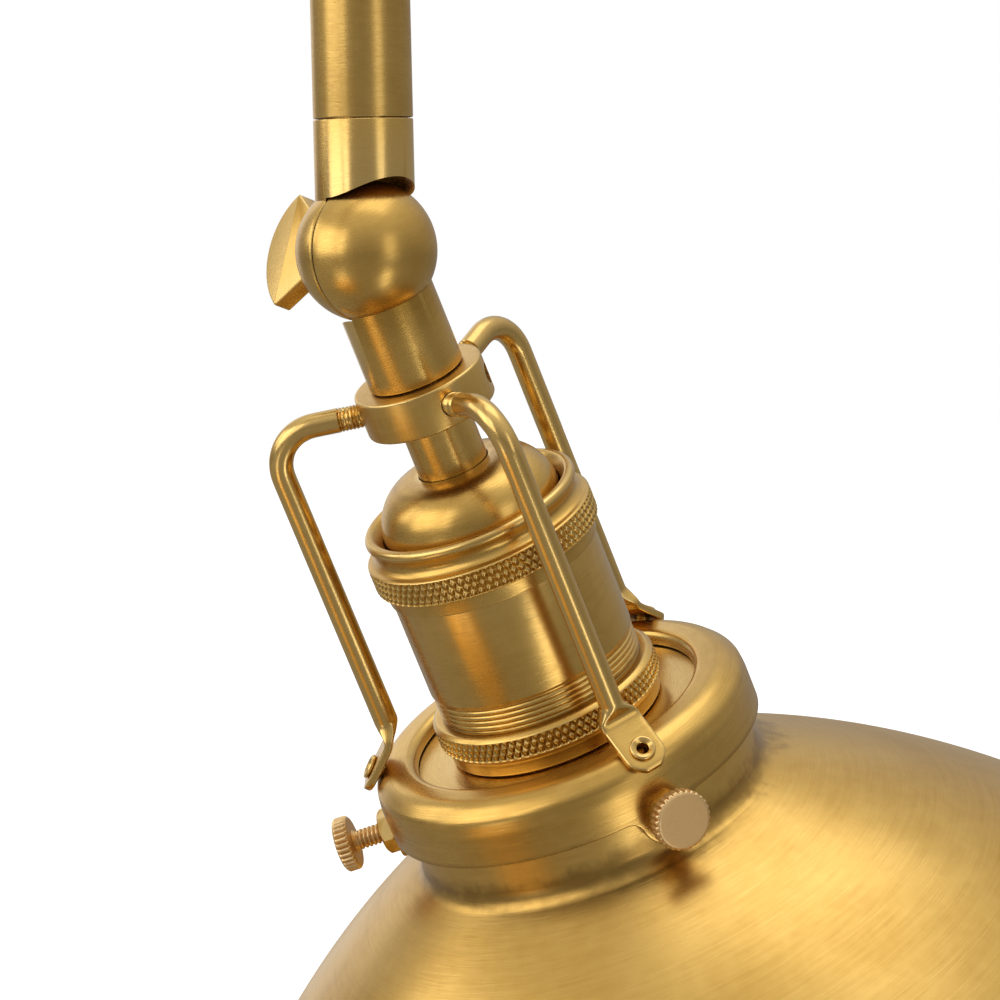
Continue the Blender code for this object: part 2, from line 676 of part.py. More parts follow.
# ================================================================ head
def add_hub(head):
    """The neck, the hub ring with its four threaded holes, and the set screw."""
    place("head_neck", ring(NECK_RADIUS, NECK_BORE, NECK_INSERT - WRIST_STEM_LENGTH,
                            -CAP_TOP - NECK_GRIP), "satin_brass", head)
    hub = ring(HUB_RADIUS, NECK_RADIUS + GAP, -HUB_TOP, -HUB_BOTTOM)
    level = shift(z=-HUB_MIDDLE)
    sideways = about("Y", math.pi / 2)
    cut = [(rod(ROD_RADIUS + RUNNING, NECK_RADIUS, 2 * HUB_RADIUS),
            level @ about("Z", azimuth) @ sideways) for azimuth in ROD_AZIMUTHS]
    cut.append((rod(SET_SCREW_RADIUS + GAP, NECK_RADIUS, 2 * HUB_RADIUS),
                level @ about("Z", SET_SCREW_AZIMUTH) @ sideways))
    place("rod_hub", combine(hub, cut=cut), "satin_brass", head)
    screw = rod(SET_SCREW_RADIUS, NECK_RADIUS + GAP, HUB_RADIUS - SET_SCREW_SINK)
    place("hub_set_screw", screw, "zinc_steel", head, (0, 0, -HUB_MIDDLE),
          (0, math.pi / 2, SET_SCREW_AZIMUTH))


def lug_start():
    """Radius and station where a rod turns out into its lug."""
    radius, station = lug_centre()
    reach = (radius - ROD_CIRCLE) / math.cos(LUG_SLOPE)
    return ROD_CIRCLE, station - reach * math.sin(LUG_SLOPE)


def lug_centre():
    """Radius and station of the rivet in the lug's middle plane, just above the shoulder."""
    radius, station = shoulder_centre()
    reach = FITTER_SHOULDER + LUG_THICKNESS / 2 + RUNNING
    return radius + reach * math.sin(LUG_SLOPE), station - reach * math.cos(LUG_SLOPE)


def shoulder_centre():
    """Centre of the fitter's outer shoulder as radius and station."""
    return FITTER_RADIUS - FITTER_DRAFT - FITTER_SHOULDER, FITTER_TOP + FITTER_SHOULDER


def gallery_rod():
    """A bent rod with its flattened lug, in the plane of X (outwards) and Z (up the axis)."""
    crown = HUB_MIDDLE - ROD_RISE
    bend = (ROD_CIRCLE - ROD_BEND, crown + ROD_BEND)
    route = [(NECK_RADIUS + ROD_END_GAP, HUB_MIDDLE)]
    route += [(x, 2 * bend[1] - s) for x, s in arc(bend, ROD_BEND, 95, 0, 6)]
    start = lug_start()
    route.append(start)
    path = [(radius, 0, -station) for radius, station in route]
    centre = lug_centre()
    half = LUG_WIDTH / 2
    length = (centre[0] - start[0]) / math.cos(LUG_SLOPE) + LUG_BEYOND
    side = [(-ROD_RISE, LUG_ROOT), (ROD_RADIUS, half), (length - LUG_CORNER, half),
            (length, half * 0.45)]
    outline = [(x, -y) for x, y in side] + side[::-1]
    lug = shift(start[0], 0, -start[1]) @ about("Y", LUG_SLOPE)
    hole = shift(centre[0], 0, -centre[1]) @ about("Y", LUG_SLOPE)
    drill = rod(RIVET_TUBE + GAP, -2 * LUG_THICKNESS, 2 * LUG_THICKNESS)
    return combine(wire(path, ROD_RADIUS), joined=[(plate(outline, LUG_THICKNESS), lug)],
                   cut=[(drill, hole)])


def eyelet():
    """A hollow rivet along Z through a lug and the fitter, centred on the lug."""
    top = LUG_THICKNESS / 2 + GAP
    through = LUG_THICKNESS / 2 + 2 * GAP + FITTER_WALL + GAP
    return turned([(RIVET_HEAD, top + RIVET_FLANGE), (RIVET_HEAD, top), (RIVET_TUBE, top),
                   (RIVET_TUBE, -through), (RIVET_BORE, -through),
                   (RIVET_BORE, top + RIVET_FLANGE)], COARSE)


def add_gallery(head):
    """The three rods and their rivets."""
    rod_mesh = gallery_rod()
    rivet_mesh = eyelet()
    centre = lug_centre()
    for number, azimuth in enumerate(ROD_AZIMUTHS, 1):
        place(f"gallery_rod_{number}", rod_mesh, "satin_brass", head, rotation=(0, 0, azimuth))
        spot = about("Z", azimuth) @ Vector((centre[0], 0, -centre[1]))
        place(f"gallery_rivet_{number}", rivet_mesh, "satin_brass", head, spot,
              (0, LUG_SLOPE, azimuth))


def add_socket(head):
    """The socket's cap, rings, shell, liner and contacts."""
    dome = [(NECK_RADIUS + GAP, CAP_TOP)]
    start = NECK_RADIUS + CAP_FLAT
    count = 5
    for i in range(count + 1):
        angle = math.pi / 2 * i / count
        dome.append((start + (CAP_RADIUS - start) * math.sin(angle),
                     CAP_FOOT - CAP_DOME_HEIGHT * math.cos(angle)))
    dome.append((CAP_RADIUS, CAP_FOOT + CAP_SKIRT))
    place("socket_cap", turned(sheet(down(dome), CAP_WALL)), "satin_brass", head)

    inner = CAP_RADIUS + GAP
    bore = SHELL_RADIUS + GAP
    knurl_top = RING_TOP + CAP_RING_KNURL_START
    knurl_end = knurl_top + CAP_RING_KNURL_LENGTH
    cap_ring = [(inner, RING_TOP), (LIP_RADIUS - CAP_RING_LIP_EDGE, RING_TOP),
                (LIP_RADIUS, RING_TOP + CAP_RING_LIP_EDGE),
                (LIP_RADIUS - CAP_RING_HOLLOW, RING_TOP + CAP_RING_HOLLOW_STATION),
                (KNURL_RADIUS, knurl_top), (KNURL_RADIUS, knurl_end),
                (LIP_RADIUS, knurl_end + GAP), (LIP_RADIUS, RING_BOTTOM), (bore, RING_BOTTOM),
                (bore, SHELL_TOP - GAP), (inner, SHELL_TOP - GAP)]
    place("socket_cap_ring", turned(down(cap_ring)), "satin_brass", head)

    step = SHADE_RING_TOP - THREAD_LENGTH
    thin = SHELL_RADIUS - THREAD_STEP
    shell = [(SHELL_RADIUS, SHELL_TOP), (SHELL_RADIUS, step), (thin, step), (thin, SHELL_BOTTOM),
             (thin - SHELL_WALL, SHELL_BOTTOM), (thin - SHELL_WALL, SHELL_TOP)]
    place("socket_shell", turned(down(shell)), "satin_brass", head)

    bore = thin + GAP
    band = SHADE_RING_TOP + SHADE_RING_BAND
    shade_ring = [(bore, SHADE_RING_TOP), (SHADE_RING_RADIUS - SHADE_RING_CHAMFER, SHADE_RING_TOP),
                  (SHADE_RING_RADIUS, SHADE_RING_TOP + SHADE_RING_CHAMFER),
                  (SHADE_RING_RADIUS, band),
                  (SHADE_RING_FLANGE, band), (SHADE_RING_FLANGE, SHADE_RING_BOTTOM),
                  (bore, SHADE_RING_BOTTOM)]
    place("shade_ring", turned(down(shade_ring)), "satin_brass", head)

    liner = [(0, LINER_TOP), (LINER_RADIUS, LINER_TOP), (LINER_RADIUS, SHELL_BOTTOM),
             (LINER_BORE, SHELL_BOTTOM),
             (LINER_BORE, LINER_TOP + LINER_FLOOR), (0, LINER_TOP + LINER_FLOOR)]
    place("socket_liner", turned(down(liner)), "ceramic", head)

    top = CONTACT_TOP + CONTACT_HEIGHT
    place("socket_screw_shell", ring(SCREW_SHELL_RADIUS, SCREW_SHELL_RADIUS - SCREW_SHELL_WALL,
                                     -top, -top - SCREW_SHELL_LENGTH), "bright_brass", head)
    contact = [(0, CONTACT_TOP), (CONTACT_RADIUS, CONTACT_TOP),
               (CONTACT_RADIUS, CONTACT_TOP + CONTACT_HEIGHT / 2),
               (CONTACT_RADIUS / 2, CONTACT_TOP + CONTACT_HEIGHT),
               (0, CONTACT_TOP + CONTACT_HEIGHT)]
    place("socket_contact", turned(down(contact), COARSE), "bright_brass", head)


def add_fitter(head):
    """The fitter ring with its tongues and holes, and the nuts on the tongues."""
    centre = shoulder_centre()
    shoulder = [(x, 2 * centre[1] - s) for x, s in arc(centre, FITTER_SHOULDER, 90, 8, 6)]
    outer = [(FITTER_HOLE, FITTER_TOP + FITTER_LIP_DEPTH),
             (FITTER_HOLE + GAP / 3, FITTER_TOP + FITTER_WALL),
             (FITTER_HOLE + FITTER_WALL, FITTER_TOP + RUNNING)]
    outer += shoulder + [(FITTER_RADIUS, FITTER_BOTTOM)]
    body = turned(sheet(down(outer), FITTER_WALL), FINE)
    middle = FITTER_RADIUS - FITTER_WALL / 2 - FITTER_DRAFT / 2
    half = TONGUE_WIDTH / 2
    root = FITTER_BOTTOM - 2 * FITTER_WALL
    tongue = down(arc((0, SCREW_STATION), half, 0, 180, 10) + [(-half, root), (half, root)])
    tongue_mesh = plate(tongue, FITTER_WALL)
    past = 2 * FITTER_WALL
    stand = about("Z", math.pi / 2) @ about("X", math.pi / 2)
    joined, cut = [], []
    rivet = lug_centre()
    for azimuth in ROD_AZIMUTHS:
        turn = about("Z", azimuth)
        joined.append((tongue_mesh, turn @ shift(x=middle) @ stand))
        cut.append((rod(SCREW_RADIUS + GAP, middle - past, middle + past),
                    turn @ shift(z=-SCREW_STATION) @ about("Y", math.pi / 2)))
        cut.append((rod(RIVET_TUBE + GAP, -FITTER_SHOULDER, past),
                    turn @ shift(rivet[0], 0, -rivet[1]) @ about("Y", LUG_SLOPE)))
    place("fitter_ring", combine(body, joined, cut), "satin_brass", head)
    face = middle + FITTER_WALL / 2 + GAP
    nut = hexagon(NUT_FLATS, SCREW_RADIUS + GAP, face, face + NUT_THICKNESS)
    for number, azimuth in enumerate(ROD_AZIMUTHS, 1):
        place(f"thumb_nut_{number}", nut, "satin_brass", head, (0, 0, -SCREW_STATION),
              (0, math.pi / 2, azimuth))
    return face + NUT_THICKNESS


def add_thumb_screws(head, nut_face):
    """Three knurled thumb screws; the third is backed out."""
    tip = neck_radius() + GAP
    under_head = nut_face + 2 * GAP
    end = under_head + SCREW_HEAD_LENGTH
    screw = turned([(0, end), (SCREW_HEAD_RADIUS - SCREW_HEAD_EDGE, end),
                    (SCREW_HEAD_RADIUS, end - SCREW_HEAD_EDGE), (SCREW_HEAD_RADIUS, under_head),
                    (SCREW_RADIUS, under_head), (SCREW_RADIUS, tip), (0, tip)])
    for number, azimuth in enumerate(ROD_AZIMUTHS, 1):
        out = SCREW_BACKED_OUT if number == 3 else 0.0
        spot = about("Z", azimuth) @ Vector((out, 0, -SCREW_STATION))
        axis = pivot(f"thumb_screw_axis_{number}", head, spot, (0, math.pi / 2, azimuth))
        place(f"thumb_screw_{number}", screw, "bright_brass", axis)


def neck_radius():
    """Outer radius of the shade's neck, inside the fitter's skirt."""
    return FITTER_RADIUS - FITTER_WALL - SHADE_NECK_CLEARANCE


def shade_outline():
    """The shade's outer side from its hole down to the rim, as (radius, station)."""
    neck = neck_radius()
    corner = (neck - SHADE_CORNER, SHADE_TOP + SHADE_CORNER)
    points = [(SHADE_HOLE, SHADE_TOP)]
    points += [(x, 2 * corner[1] - s) for x, s in arc(corner, SHADE_CORNER, 90, 0, 2)]
    foot = SHADE_TOP + SHADE_NECK_LENGTH
    for i in range(4):
        slope = math.pi / 2 + (SHADE_SLOPE - math.pi / 2) * i / 3
        points.append((neck + SHADE_FILLET * (1 - math.sin(slope)),
                       foot + SHADE_FILLET * math.cos(slope)))
    start = points[-1]
    points += bend(start, SHADE_RADIUS - SHADE_TURN_IN, SHADE_SLOPE, SHADE_END_SLOPE, 7)
    points += bend(points[-1], SHADE_RADIUS, SHADE_END_SLOPE, math.pi / 2, 3)
    rim = points[-1][1] + SHADE_SKIRT
    points.append((SHADE_RADIUS, rim))
    return points + arc((SHADE_RADIUS, rim + SHADE_BEAD), SHADE_BEAD, -80, 80, 4)


def bend(start, outer, first, last, count):
    """Points on the arc from a (radius, station) point out to a radius, between two slopes."""
    size = (outer - start[0]) / (math.sin(last) - math.sin(first))
    slopes = [first + (last - first) * i / count for i in range(1, count + 1)]
    return [(start[0] + size * (math.sin(slope) - math.sin(first)),
             start[1] + size * (math.cos(first) - math.cos(slope))) for slope in slopes]


def add_shade(head):
    """The shade: a closed neck, a dome and a beaded rim."""
    outer = shade_outline()
    place("shade", turned(sheet(down(outer), SHADE_WALL), FINE), "satin_brass", head)


def add_bulb(head):
    """The bulb's screw cap and its glass."""
    end = BULB_CAP_TOP + BULB_CAP_LENGTH
    cap = [(0, BULB_CAP_TOP), (BULB_CAP_CHAMFER, BULB_CAP_TOP),
           (BULB_CAP_RADIUS, BULB_CAP_TOP + BULB_CAP_CHAMFER), (BULB_CAP_RADIUS, end), (0, end)]
    place("bulb_cap", turned(down(cap)), "zinc_steel", head)
    globe = GLASS_TOP + BULB_LENGTH - BULB_RADIUS
    glass = [(BULB_NECK, GLASS_TOP), (BULB_NECK + BULB_WALL, GLASS_TOP + BULB_NECK / 2)]
    glass += arc((0, globe), BULB_RADIUS, -35, 81, 7)
    place("bulb_glass", glass_mesh(glass), "glass", head)


def glass_mesh(outline):
    """A bulb's thin glass, open only at its neck."""
    tip = outline[-1][1] + RUNNING
    inside = [(radius - BULB_WALL, station - (BULB_WALL if radius < BULB_RADIUS / 2 else 0))
              for radius, station in outline]
    inside[0] = (outline[0][0] - BULB_WALL, outline[0][1])
    inside_tip = tip - BULB_WALL
    outside = turned(down([(0, outline[0][1])] + outline + [(0, tip)]))
    start = (inside[0][0], inside[0][1] - BULB_WALL)
    hollow = turned(down([(0, start[1]), start] + inside[1:] + [(0, inside_tip)]))
    return combine(outside, cut=[(hollow, Matrix())])


# ================================================================ assembly
clear_scene()
PARTS = new_collection("swing_arm_desk_lamp")
CUTTERS = new_collection("cutters")
FIXED_HALF = swivel_half(1, plain_stem())
MOVING_HALF = swivel_half(-1, plain_stem())
WRIST_HALF = swivel_half(-1, socket_stem())
KEY = wing_key()
add_base()
add_inlet()
add_switch()
HEAD = add_arms()
add_hub(HEAD)
add_gallery(HEAD)
add_socket(HEAD)
NUT_FACE = add_fitter(HEAD)
add_thumb_screws(HEAD, NUT_FACE)
add_shade(HEAD)
add_bulb(HEAD)
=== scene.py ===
"""Looks of a swing arm desk lamp: aged brass tubes, ball swivels, a socket gallery and a dome shade.

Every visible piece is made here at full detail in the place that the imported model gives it.
Local frames have their Z along a piece's own axis, so one outline and one brushed finish serve
upright, level and tilted pieces alike.
"""
import json
import logging
import math
from dataclasses import dataclass, field
from enum import Enum
from typing import Any, Dict, List, Optional, Sequence, Tuple, Union

import bmesh
import bpy
import numpy as np
from mathutils import Matrix, Vector


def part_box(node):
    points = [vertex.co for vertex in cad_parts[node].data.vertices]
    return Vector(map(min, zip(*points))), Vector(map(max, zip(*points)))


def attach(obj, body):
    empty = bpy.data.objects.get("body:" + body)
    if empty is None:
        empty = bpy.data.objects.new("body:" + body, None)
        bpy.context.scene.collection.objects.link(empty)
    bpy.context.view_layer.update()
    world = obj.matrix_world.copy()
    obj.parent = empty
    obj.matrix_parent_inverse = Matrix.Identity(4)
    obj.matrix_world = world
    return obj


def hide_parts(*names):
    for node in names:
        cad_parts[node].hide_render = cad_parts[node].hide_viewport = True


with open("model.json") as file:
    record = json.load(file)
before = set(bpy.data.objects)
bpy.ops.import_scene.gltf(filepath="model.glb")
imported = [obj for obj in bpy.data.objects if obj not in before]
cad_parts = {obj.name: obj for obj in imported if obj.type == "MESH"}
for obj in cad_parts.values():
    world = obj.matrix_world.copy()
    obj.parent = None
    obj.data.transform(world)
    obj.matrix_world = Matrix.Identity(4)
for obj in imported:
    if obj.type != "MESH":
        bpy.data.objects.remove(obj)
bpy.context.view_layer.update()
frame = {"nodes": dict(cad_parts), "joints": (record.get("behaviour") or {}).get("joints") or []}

LOG = logging.getLogger("desk_lamp")

Colour = Tuple[float, float, float]
Corner = Tuple[float, float, float]
Row = Tuple[np.ndarray, np.ndarray, np.ndarray]
Number = Union[float, "Value"]

TAU = 2 * math.pi
SHARP = math.radians(33)  # Faces that meet at more than this are shaded with a hard edge.
FULL_EDGE = math.radians(18)  # An edge that bends this much gets its full edge value: full rubbed wear and painted highlight on a ridge, full painted shade in a crease.
GAP = 0.0003  # Usual clearance between two pieces, in metres.


# ==================================================================== node trees
class Value:
    """A number socket of a node tree, with arithmetic that adds Math nodes."""

    def __init__(self, graph: "Graph", socket: bpy.types.NodeSocket) -> None:
        """Wrap a socket.

        Args:
            graph: The tree's builder.
            socket: An output socket that carries a number.
        """
        self.graph = graph
        self.socket = socket

    def math(self, operation: str, *values: Number) -> "Value":
        """Add a Math node.

        Args:
            operation: Blender's name of the operation.
            values: The node's operands, in order.

        Returns:
            The node's result.
        """
        inputs = {index: value for index, value in enumerate(values)}
        node = self.graph.node("ShaderNodeMath", {"operation": operation}, inputs)
        return Value(self.graph, node.outputs[0])

    def __add__(self, other: Number) -> "Value":
        """Sum."""
        return self.math("ADD", self, other)

    def __radd__(self, other: Number) -> "Value":
        """Sum with a plain number first."""
        return self.math("ADD", other, self)

    def __sub__(self, other: Number) -> "Value":
        """Difference."""
        return self.math("SUBTRACT", self, other)

    def __rsub__(self, other: Number) -> "Value":
        """Difference from a plain number."""
        return self.math("SUBTRACT", other, self)

    def __mul__(self, other: Number) -> "Value":
        """Product."""
        return self.math("MULTIPLY", self, other)

    def __rmul__(self, other: Number) -> "Value":
        """Product with a plain number first."""
        return self.math("MULTIPLY", other, self)

    def __truediv__(self, other: Number) -> "Value":
        """Quotient."""
        return self.math("DIVIDE", self, other)

    def root(self) -> "Value":
        """Square root."""
        return self.math("SQRT", self)

    def size(self) -> "Value":
        """The value without its sign."""
        return self.math("ABSOLUTE", self)

    def least(self, other: Number) -> "Value":
        """The smaller of two values."""
        return self.math("MINIMUM", self, other)

    def most(self, other: Number) -> "Value":
        """The larger of two values."""
        return self.math("MAXIMUM", self, other)

    def zigzag(self) -> "Value":
        """A triangle wave from 0 to 1, with one period per unit."""
        return self.math("PINGPONG", self, 0.5) * 2.0

    def between(self, low: Number, high: Number, soft: bool = True) -> "Value":
        """A step from 0 at low to 1 at high.

        Args:
            low: Where the step starts.
            high: Where the step ends; it may be the smaller of the two.
            soft: Whether the step eases in and out.

        Returns:
            The step's value, kept within 0 and 1.
        """
        settings = {"clamp": True, "interpolation_type": "SMOOTHSTEP" if soft else "LINEAR"}
        node = self.graph.node("ShaderNodeMapRange", settings, {0: self, 1: low, 2: high})
        return Value(self.graph, node.outputs[0])


class Graph:
    """Adds nodes to a node tree and wires them."""

    def __init__(self, tree: bpy.types.NodeTree) -> None:
        """Start on a tree."""
        self.tree = tree

    def node(self, kind: str, settings: Optional[Dict[str, Any]] = None,
             inputs: Optional[Dict[Union[int, str], Any]] = None) -> bpy.types.Node:
        """Add a node.

        Args:
            kind: The node's type.
            settings: Its properties, which are set before its sockets.
            inputs: Its sockets' values or links, by name or by number.

        Returns:
            The new node.
        """
        node = self.tree.nodes.new(kind)
        for name, setting in (settings or {}).items():
            if name == "stops":
                fill_ramp(node.color_ramp, setting)
            else:
                setattr(node, name, setting)
        for key, value in (inputs or {}).items():
            if isinstance(value, Value):
                value = value.socket
            if isinstance(value, bpy.types.NodeSocket):
                self.tree.links.new(value, node.inputs[key])
            else:
                node.inputs[key].default_value = value
        return node

    def number(self, socket: bpy.types.NodeSocket) -> Value:
        """Wrap a socket for arithmetic."""
        return Value(self, socket)

    def vector(self, x: Number, y: Number, z: Number) -> bpy.types.NodeSocket:
        """Join three numbers into a vector."""
        return self.node("ShaderNodeCombineXYZ", None, {0: x, 1: y, 2: z}).outputs[0]

    def split(self, vector: bpy.types.NodeSocket) -> Tuple[Value, Value, Value]:
        """Part a vector into its three numbers."""
        outputs = self.node("ShaderNodeSeparateXYZ", None, {0: vector}).outputs
        return self.number(outputs[0]), self.number(outputs[1]), self.number(outputs[2])

    def blend(self, first: Any, second: Any, factor: Number) -> bpy.types.NodeSocket:
        """Mix two colours.

        Args:
            first: Colour where the factor is 0, as a link or as linear RGB.
            second: Colour where the factor is 1.
            factor: The share of the second colour.

        Returns:
            The mixed colour.
        """
        pair = [(*c, 1.0) if isinstance(c, tuple) else c for c in (first, second)]
        node = self.node("ShaderNodeMix", {"data_type": "RGBA"}, {0: factor, 6: pair[0], 7: pair[1]})
        return node.outputs[2]

    def noise(self, place: bpy.types.NodeSocket, scale: float, detail: float = 2.0,
              fourth: Optional[Value] = None) -> Value:
        """A noise value around one half.

        Args:
            place: Where the noise is read.
            scale: Lumps per unit.
            detail: Octaves.
            fourth: A fourth coordinate, where the pattern needs one.

        Returns:
            The noise value.
        """
        inputs: Dict[Union[int, str], Any] = {"Vector": place, "Scale": scale, "Detail": detail}
        settings = {"noise_dimensions": "3D"}
        if fourth is not None:
            settings = {"noise_dimensions": "4D"}
            inputs["W"] = fourth
        return self.number(self.node("ShaderNodeTexNoise", settings, inputs).outputs[0])


def fill_ramp(ramp: bpy.types.ColorRamp, stops: Sequence[Tuple[float, Colour]]) -> None:
    """Set a colour ramp's stops, which are (position, linear RGB) pairs."""
    while len(ramp.elements) > 1:
        ramp.elements.remove(ramp.elements[-1])
    ramp.elements[0].position = stops[0][0]
    ramp.elements[0].color = (*stops[0][1], 1.0)
    for position, colour in stops[1:]:
        ramp.elements.new(position).color = (*colour, 1.0)


# ==================================================================== local frames
@dataclass(frozen=True)
class Axis:
    """A local frame whose Z is a piece's own axis.

    Attributes:
        centre: The frame's origin, in metres.
        turn: Turn of the frame about the lamp's Y, in radians.
        spin: Turn about the frame's own Z, in radians.
        level: Whether Z is first laid along the lamp's Y, as a hinge's axis is.
    """

    centre: Tuple[float, float, float] = (0.0, 0.0, 0.0)
    turn: float = 0.0
    spin: float = 0.0
    level: bool = False

    @property
    def matrix(self) -> Matrix:
        """The frame as a matrix."""
        result = Matrix.Translation(self.centre) @ Matrix.Rotation(self.turn, 4, "Y")
        if self.level:
            result = result @ Matrix.Rotation(-math.pi / 2, 4, "X")
        return result @ Matrix.Rotation(self.spin, 4, "Z")

    def point(self, x: float, y: float, z: float) -> Vector:
        """A local point in the lamp's own frame."""
        return self.matrix @ Vector((x, y, z))


@dataclass(frozen=True)
class Span:
    """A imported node's extent round and along an axis, in metres."""

    inner: float
    outer: float
    low: float
    high: float


def read(elements: bpy.types.bpy_prop_collection, name: str, width: int = 1) -> np.ndarray:
    """Read one property of a mesh's elements.

    Args:
        elements: The mesh's vertices, edges, loops or polygons.
        name: The property's name.
        width: Numbers in one value.

    Returns:
        One entry or one row per element; whole numbers where the property holds them.
    """
    whole = name in ("edge_index", "loop_total", "vertices")
    values = np.empty(len(elements) * width, dtype=np.int64 if whole else float)
    elements.foreach_get(name, values)
    return values.reshape(-1, width) if width > 1 else values


def local_points(node: str, axis: Axis) -> np.ndarray:
    """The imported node's points in a local frame, one row each."""
    points = read(frame["nodes"][node].data.vertices, "co", 3)
    points = np.c_[points, np.ones(len(points))]
    return (points @ np.array(axis.matrix.inverted()).T)[:, :3]


def measure(node: str, axis: Axis, above: float = -math.inf, below: float = math.inf) -> Span:
    """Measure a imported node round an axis.

    Args:
        node: The node's name.
        axis: The frame whose Z it is measured round.
        above: Leave out what lies lower than this.
        below: Leave out what lies higher than this.

    Returns:
        Its radii and its ends.
    """
    points = local_points(node, axis)
    points = points[(points[:, 2] >= above) & (points[:, 2] <= below)]
    radii = np.hypot(points[:, 0], points[:, 1])
    return Span(float(radii.min()), float(radii.max()), float(points[:, 2].min()),
                float(points[:, 2].max()))


# ==================================================================== outlines and meshes
def corners(*points: Sequence[float]) -> List[Corner]:
    """Outline points as (radius, height, fillet), with no fillet where none is given."""
    return [(p[0], p[1], p[2] if len(p) > 2 else 0.0) for p in points]


def arc(centre: Tuple[float, float], radius: float, start: float, end: float,
        count: int) -> List[Corner]:
    """Outline points on an arc, in degrees from the radius direction towards Z."""
    angles = [math.radians(start + (end - start) * i / count) for i in range(count + 1)]
    return [(centre[0] + radius * math.cos(a), centre[1] + radius * math.sin(a), 0.0)
            for a in angles]


def softened(outline: Sequence[Corner], closed: bool, steps: int = 4) -> List[Tuple[float, float]]:
    """Round an outline's corners.

    Args:
        outline: Its corners, each with its fillet.
        closed: Whether the last corner joins the first.
        steps: Points along each rounded corner.

    Returns:
        The outline as (radius, height) points.
    """
    result: List[Tuple[float, float]] = []
    count = len(outline)
    for index, (radius, height, fillet) in enumerate(outline):
        end = not closed and index in (0, count - 1)
        if fillet <= 0 or end:
            result.append((radius, height))
            continue
        here = Vector((radius, height))
        before = Vector(outline[index - 1][:2])
        after = Vector(outline[(index + 1) % count][:2])
        back = min(fillet, (before - here).length * 0.45)
        ahead = min(fillet, (after - here).length * 0.45)
        first = here + (before - here).normalized() * back
        last = here + (after - here).normalized() * ahead
        for step in range(steps + 1):
            t = step / steps
            point = first * (1 - t) ** 2 + here * 2 * t * (1 - t) + last * t ** 2
            result.append((point.x, point.y))
    return result


def divided(points: Sequence[Tuple[float, float]], low: float, high: float,
            step: float) -> List[Tuple[float, float]]:
    """Add points to an outline's long runs between two heights.

    Args:
        points: The outline.
        low: Lower end of the stretch.
        high: Upper end of the stretch.
        step: Greatest distance between points there.

    Returns:
        The denser outline.
    """
    result = [points[0]]
    for a, b in zip(points, points[1:]):
        inside = low <= min(a[1], b[1]) and max(a[1], b[1]) <= high
        pieces = max(1, math.ceil(math.dist(a, b) / step)) if inside else 1
        for i in range(1, pieces + 1):
            t = i / pieces
            result.append((a[0] + (b[0] - a[0]) * t, a[1] + (b[1] - a[1]) * t))
    return result


def thick(points: Sequence[Tuple[float, float]], wall: float) -> List[Tuple[float, float]]:
    """Close an outline into a sheet: down its outer side and back up its inner side."""
    inner = []
    last = len(points) - 1
    for index, point in enumerate(points):
        before = Vector(points[max(index - 1, 0)])
        after = Vector(points[min(index + 1, last)])
        along = (after - before).normalized()
        inner.append((point[0] + along.y * wall, point[1] - along.x * wall))
    return list(points) + inner[::-1]


def mesh_from(vertices: np.ndarray, faces: Sequence[Sequence[int]]) -> bpy.types.Mesh:
    """A mesh with its faces pointing out.

    Args:
        vertices: One row per point.
        faces: Point numbers of each face.

    Returns:
        The new mesh.
    """
    mesh = bpy.data.meshes.new("piece")
    mesh.from_pydata(vertices.tolist(), [], [list(face) for face in faces])
    form = bmesh.new()
    form.from_mesh(mesh)
    bmesh.ops.recalc_face_normals(form, faces=form.faces)
    form.to_mesh(mesh)
    form.free()
    return mesh


def revolve(points: Sequence[Tuple[float, float]], closed: bool, segments: int = 96) -> bpy.types.Mesh:
    """Turn an outline round Z.

    Args:
        points: The outline as (radius, height), down its outer side. An open outline starts
            and ends on the axis.
        closed: Whether the outline is a ring's section.
        segments: Facets round the axis.

    Returns:
        A closed mesh.
    """
    angles = np.arange(segments) * TAU / segments
    rows: List[List[int]] = []
    vertices: List[np.ndarray] = []
    total = 0
    for radius, height in points:
        if radius < 1e-7:
            vertices.append(np.array([[0.0, 0.0, height]]))
            rows.append([total] * segments)
            total += 1
        else:
            vertices.append(np.c_[radius * np.cos(angles), radius * np.sin(angles),
                                  np.full(segments, height)])
            rows.append(list(range(total, total + segments)))
            total += segments
    faces = []
    pairs = list(zip(rows, rows[1:]))
    if closed:
        pairs.append((rows[-1], rows[0]))
    for upper, lower in pairs:
        for j in range(segments):
            k = (j + 1) % segments
            quad = [upper[j], lower[j], lower[k], upper[k]]
            quad = [v for i, v in enumerate(quad) if v != quad[i - 1]]
            if len(quad) > 2:
                faces.append(quad)
    return mesh_from(np.concatenate(vertices), faces)


def turned(outline: Sequence[Corner], closed: bool, segments: int,
           steps: int = 4) -> bpy.types.Mesh:
    """Round an outline's corners, then turn it round Z."""
    return revolve(softened(outline, closed, steps), closed, segments)


def ring(outer: float, inner: float, high: float, low: float, edge: float = 0.0002,
         segments: int = 96) -> bpy.types.Mesh:
    """A ring with softened edges between two heights."""
    outline = corners((outer, high, edge), (outer, low, edge), (inner, low, edge / 2),
                      (inner, high, edge / 2))
    return turned(outline, True, segments)


def pin(radius: float, high: float, low: float, edge: float = 0.0002,
        segments: int = 48) -> bpy.types.Mesh:
    """A solid cylinder with softened edges between two heights."""
    outline = corners((0.0, high), (radius, high, edge), (radius, low, edge), (0.0, low))
    return turned(outline, False, segments)


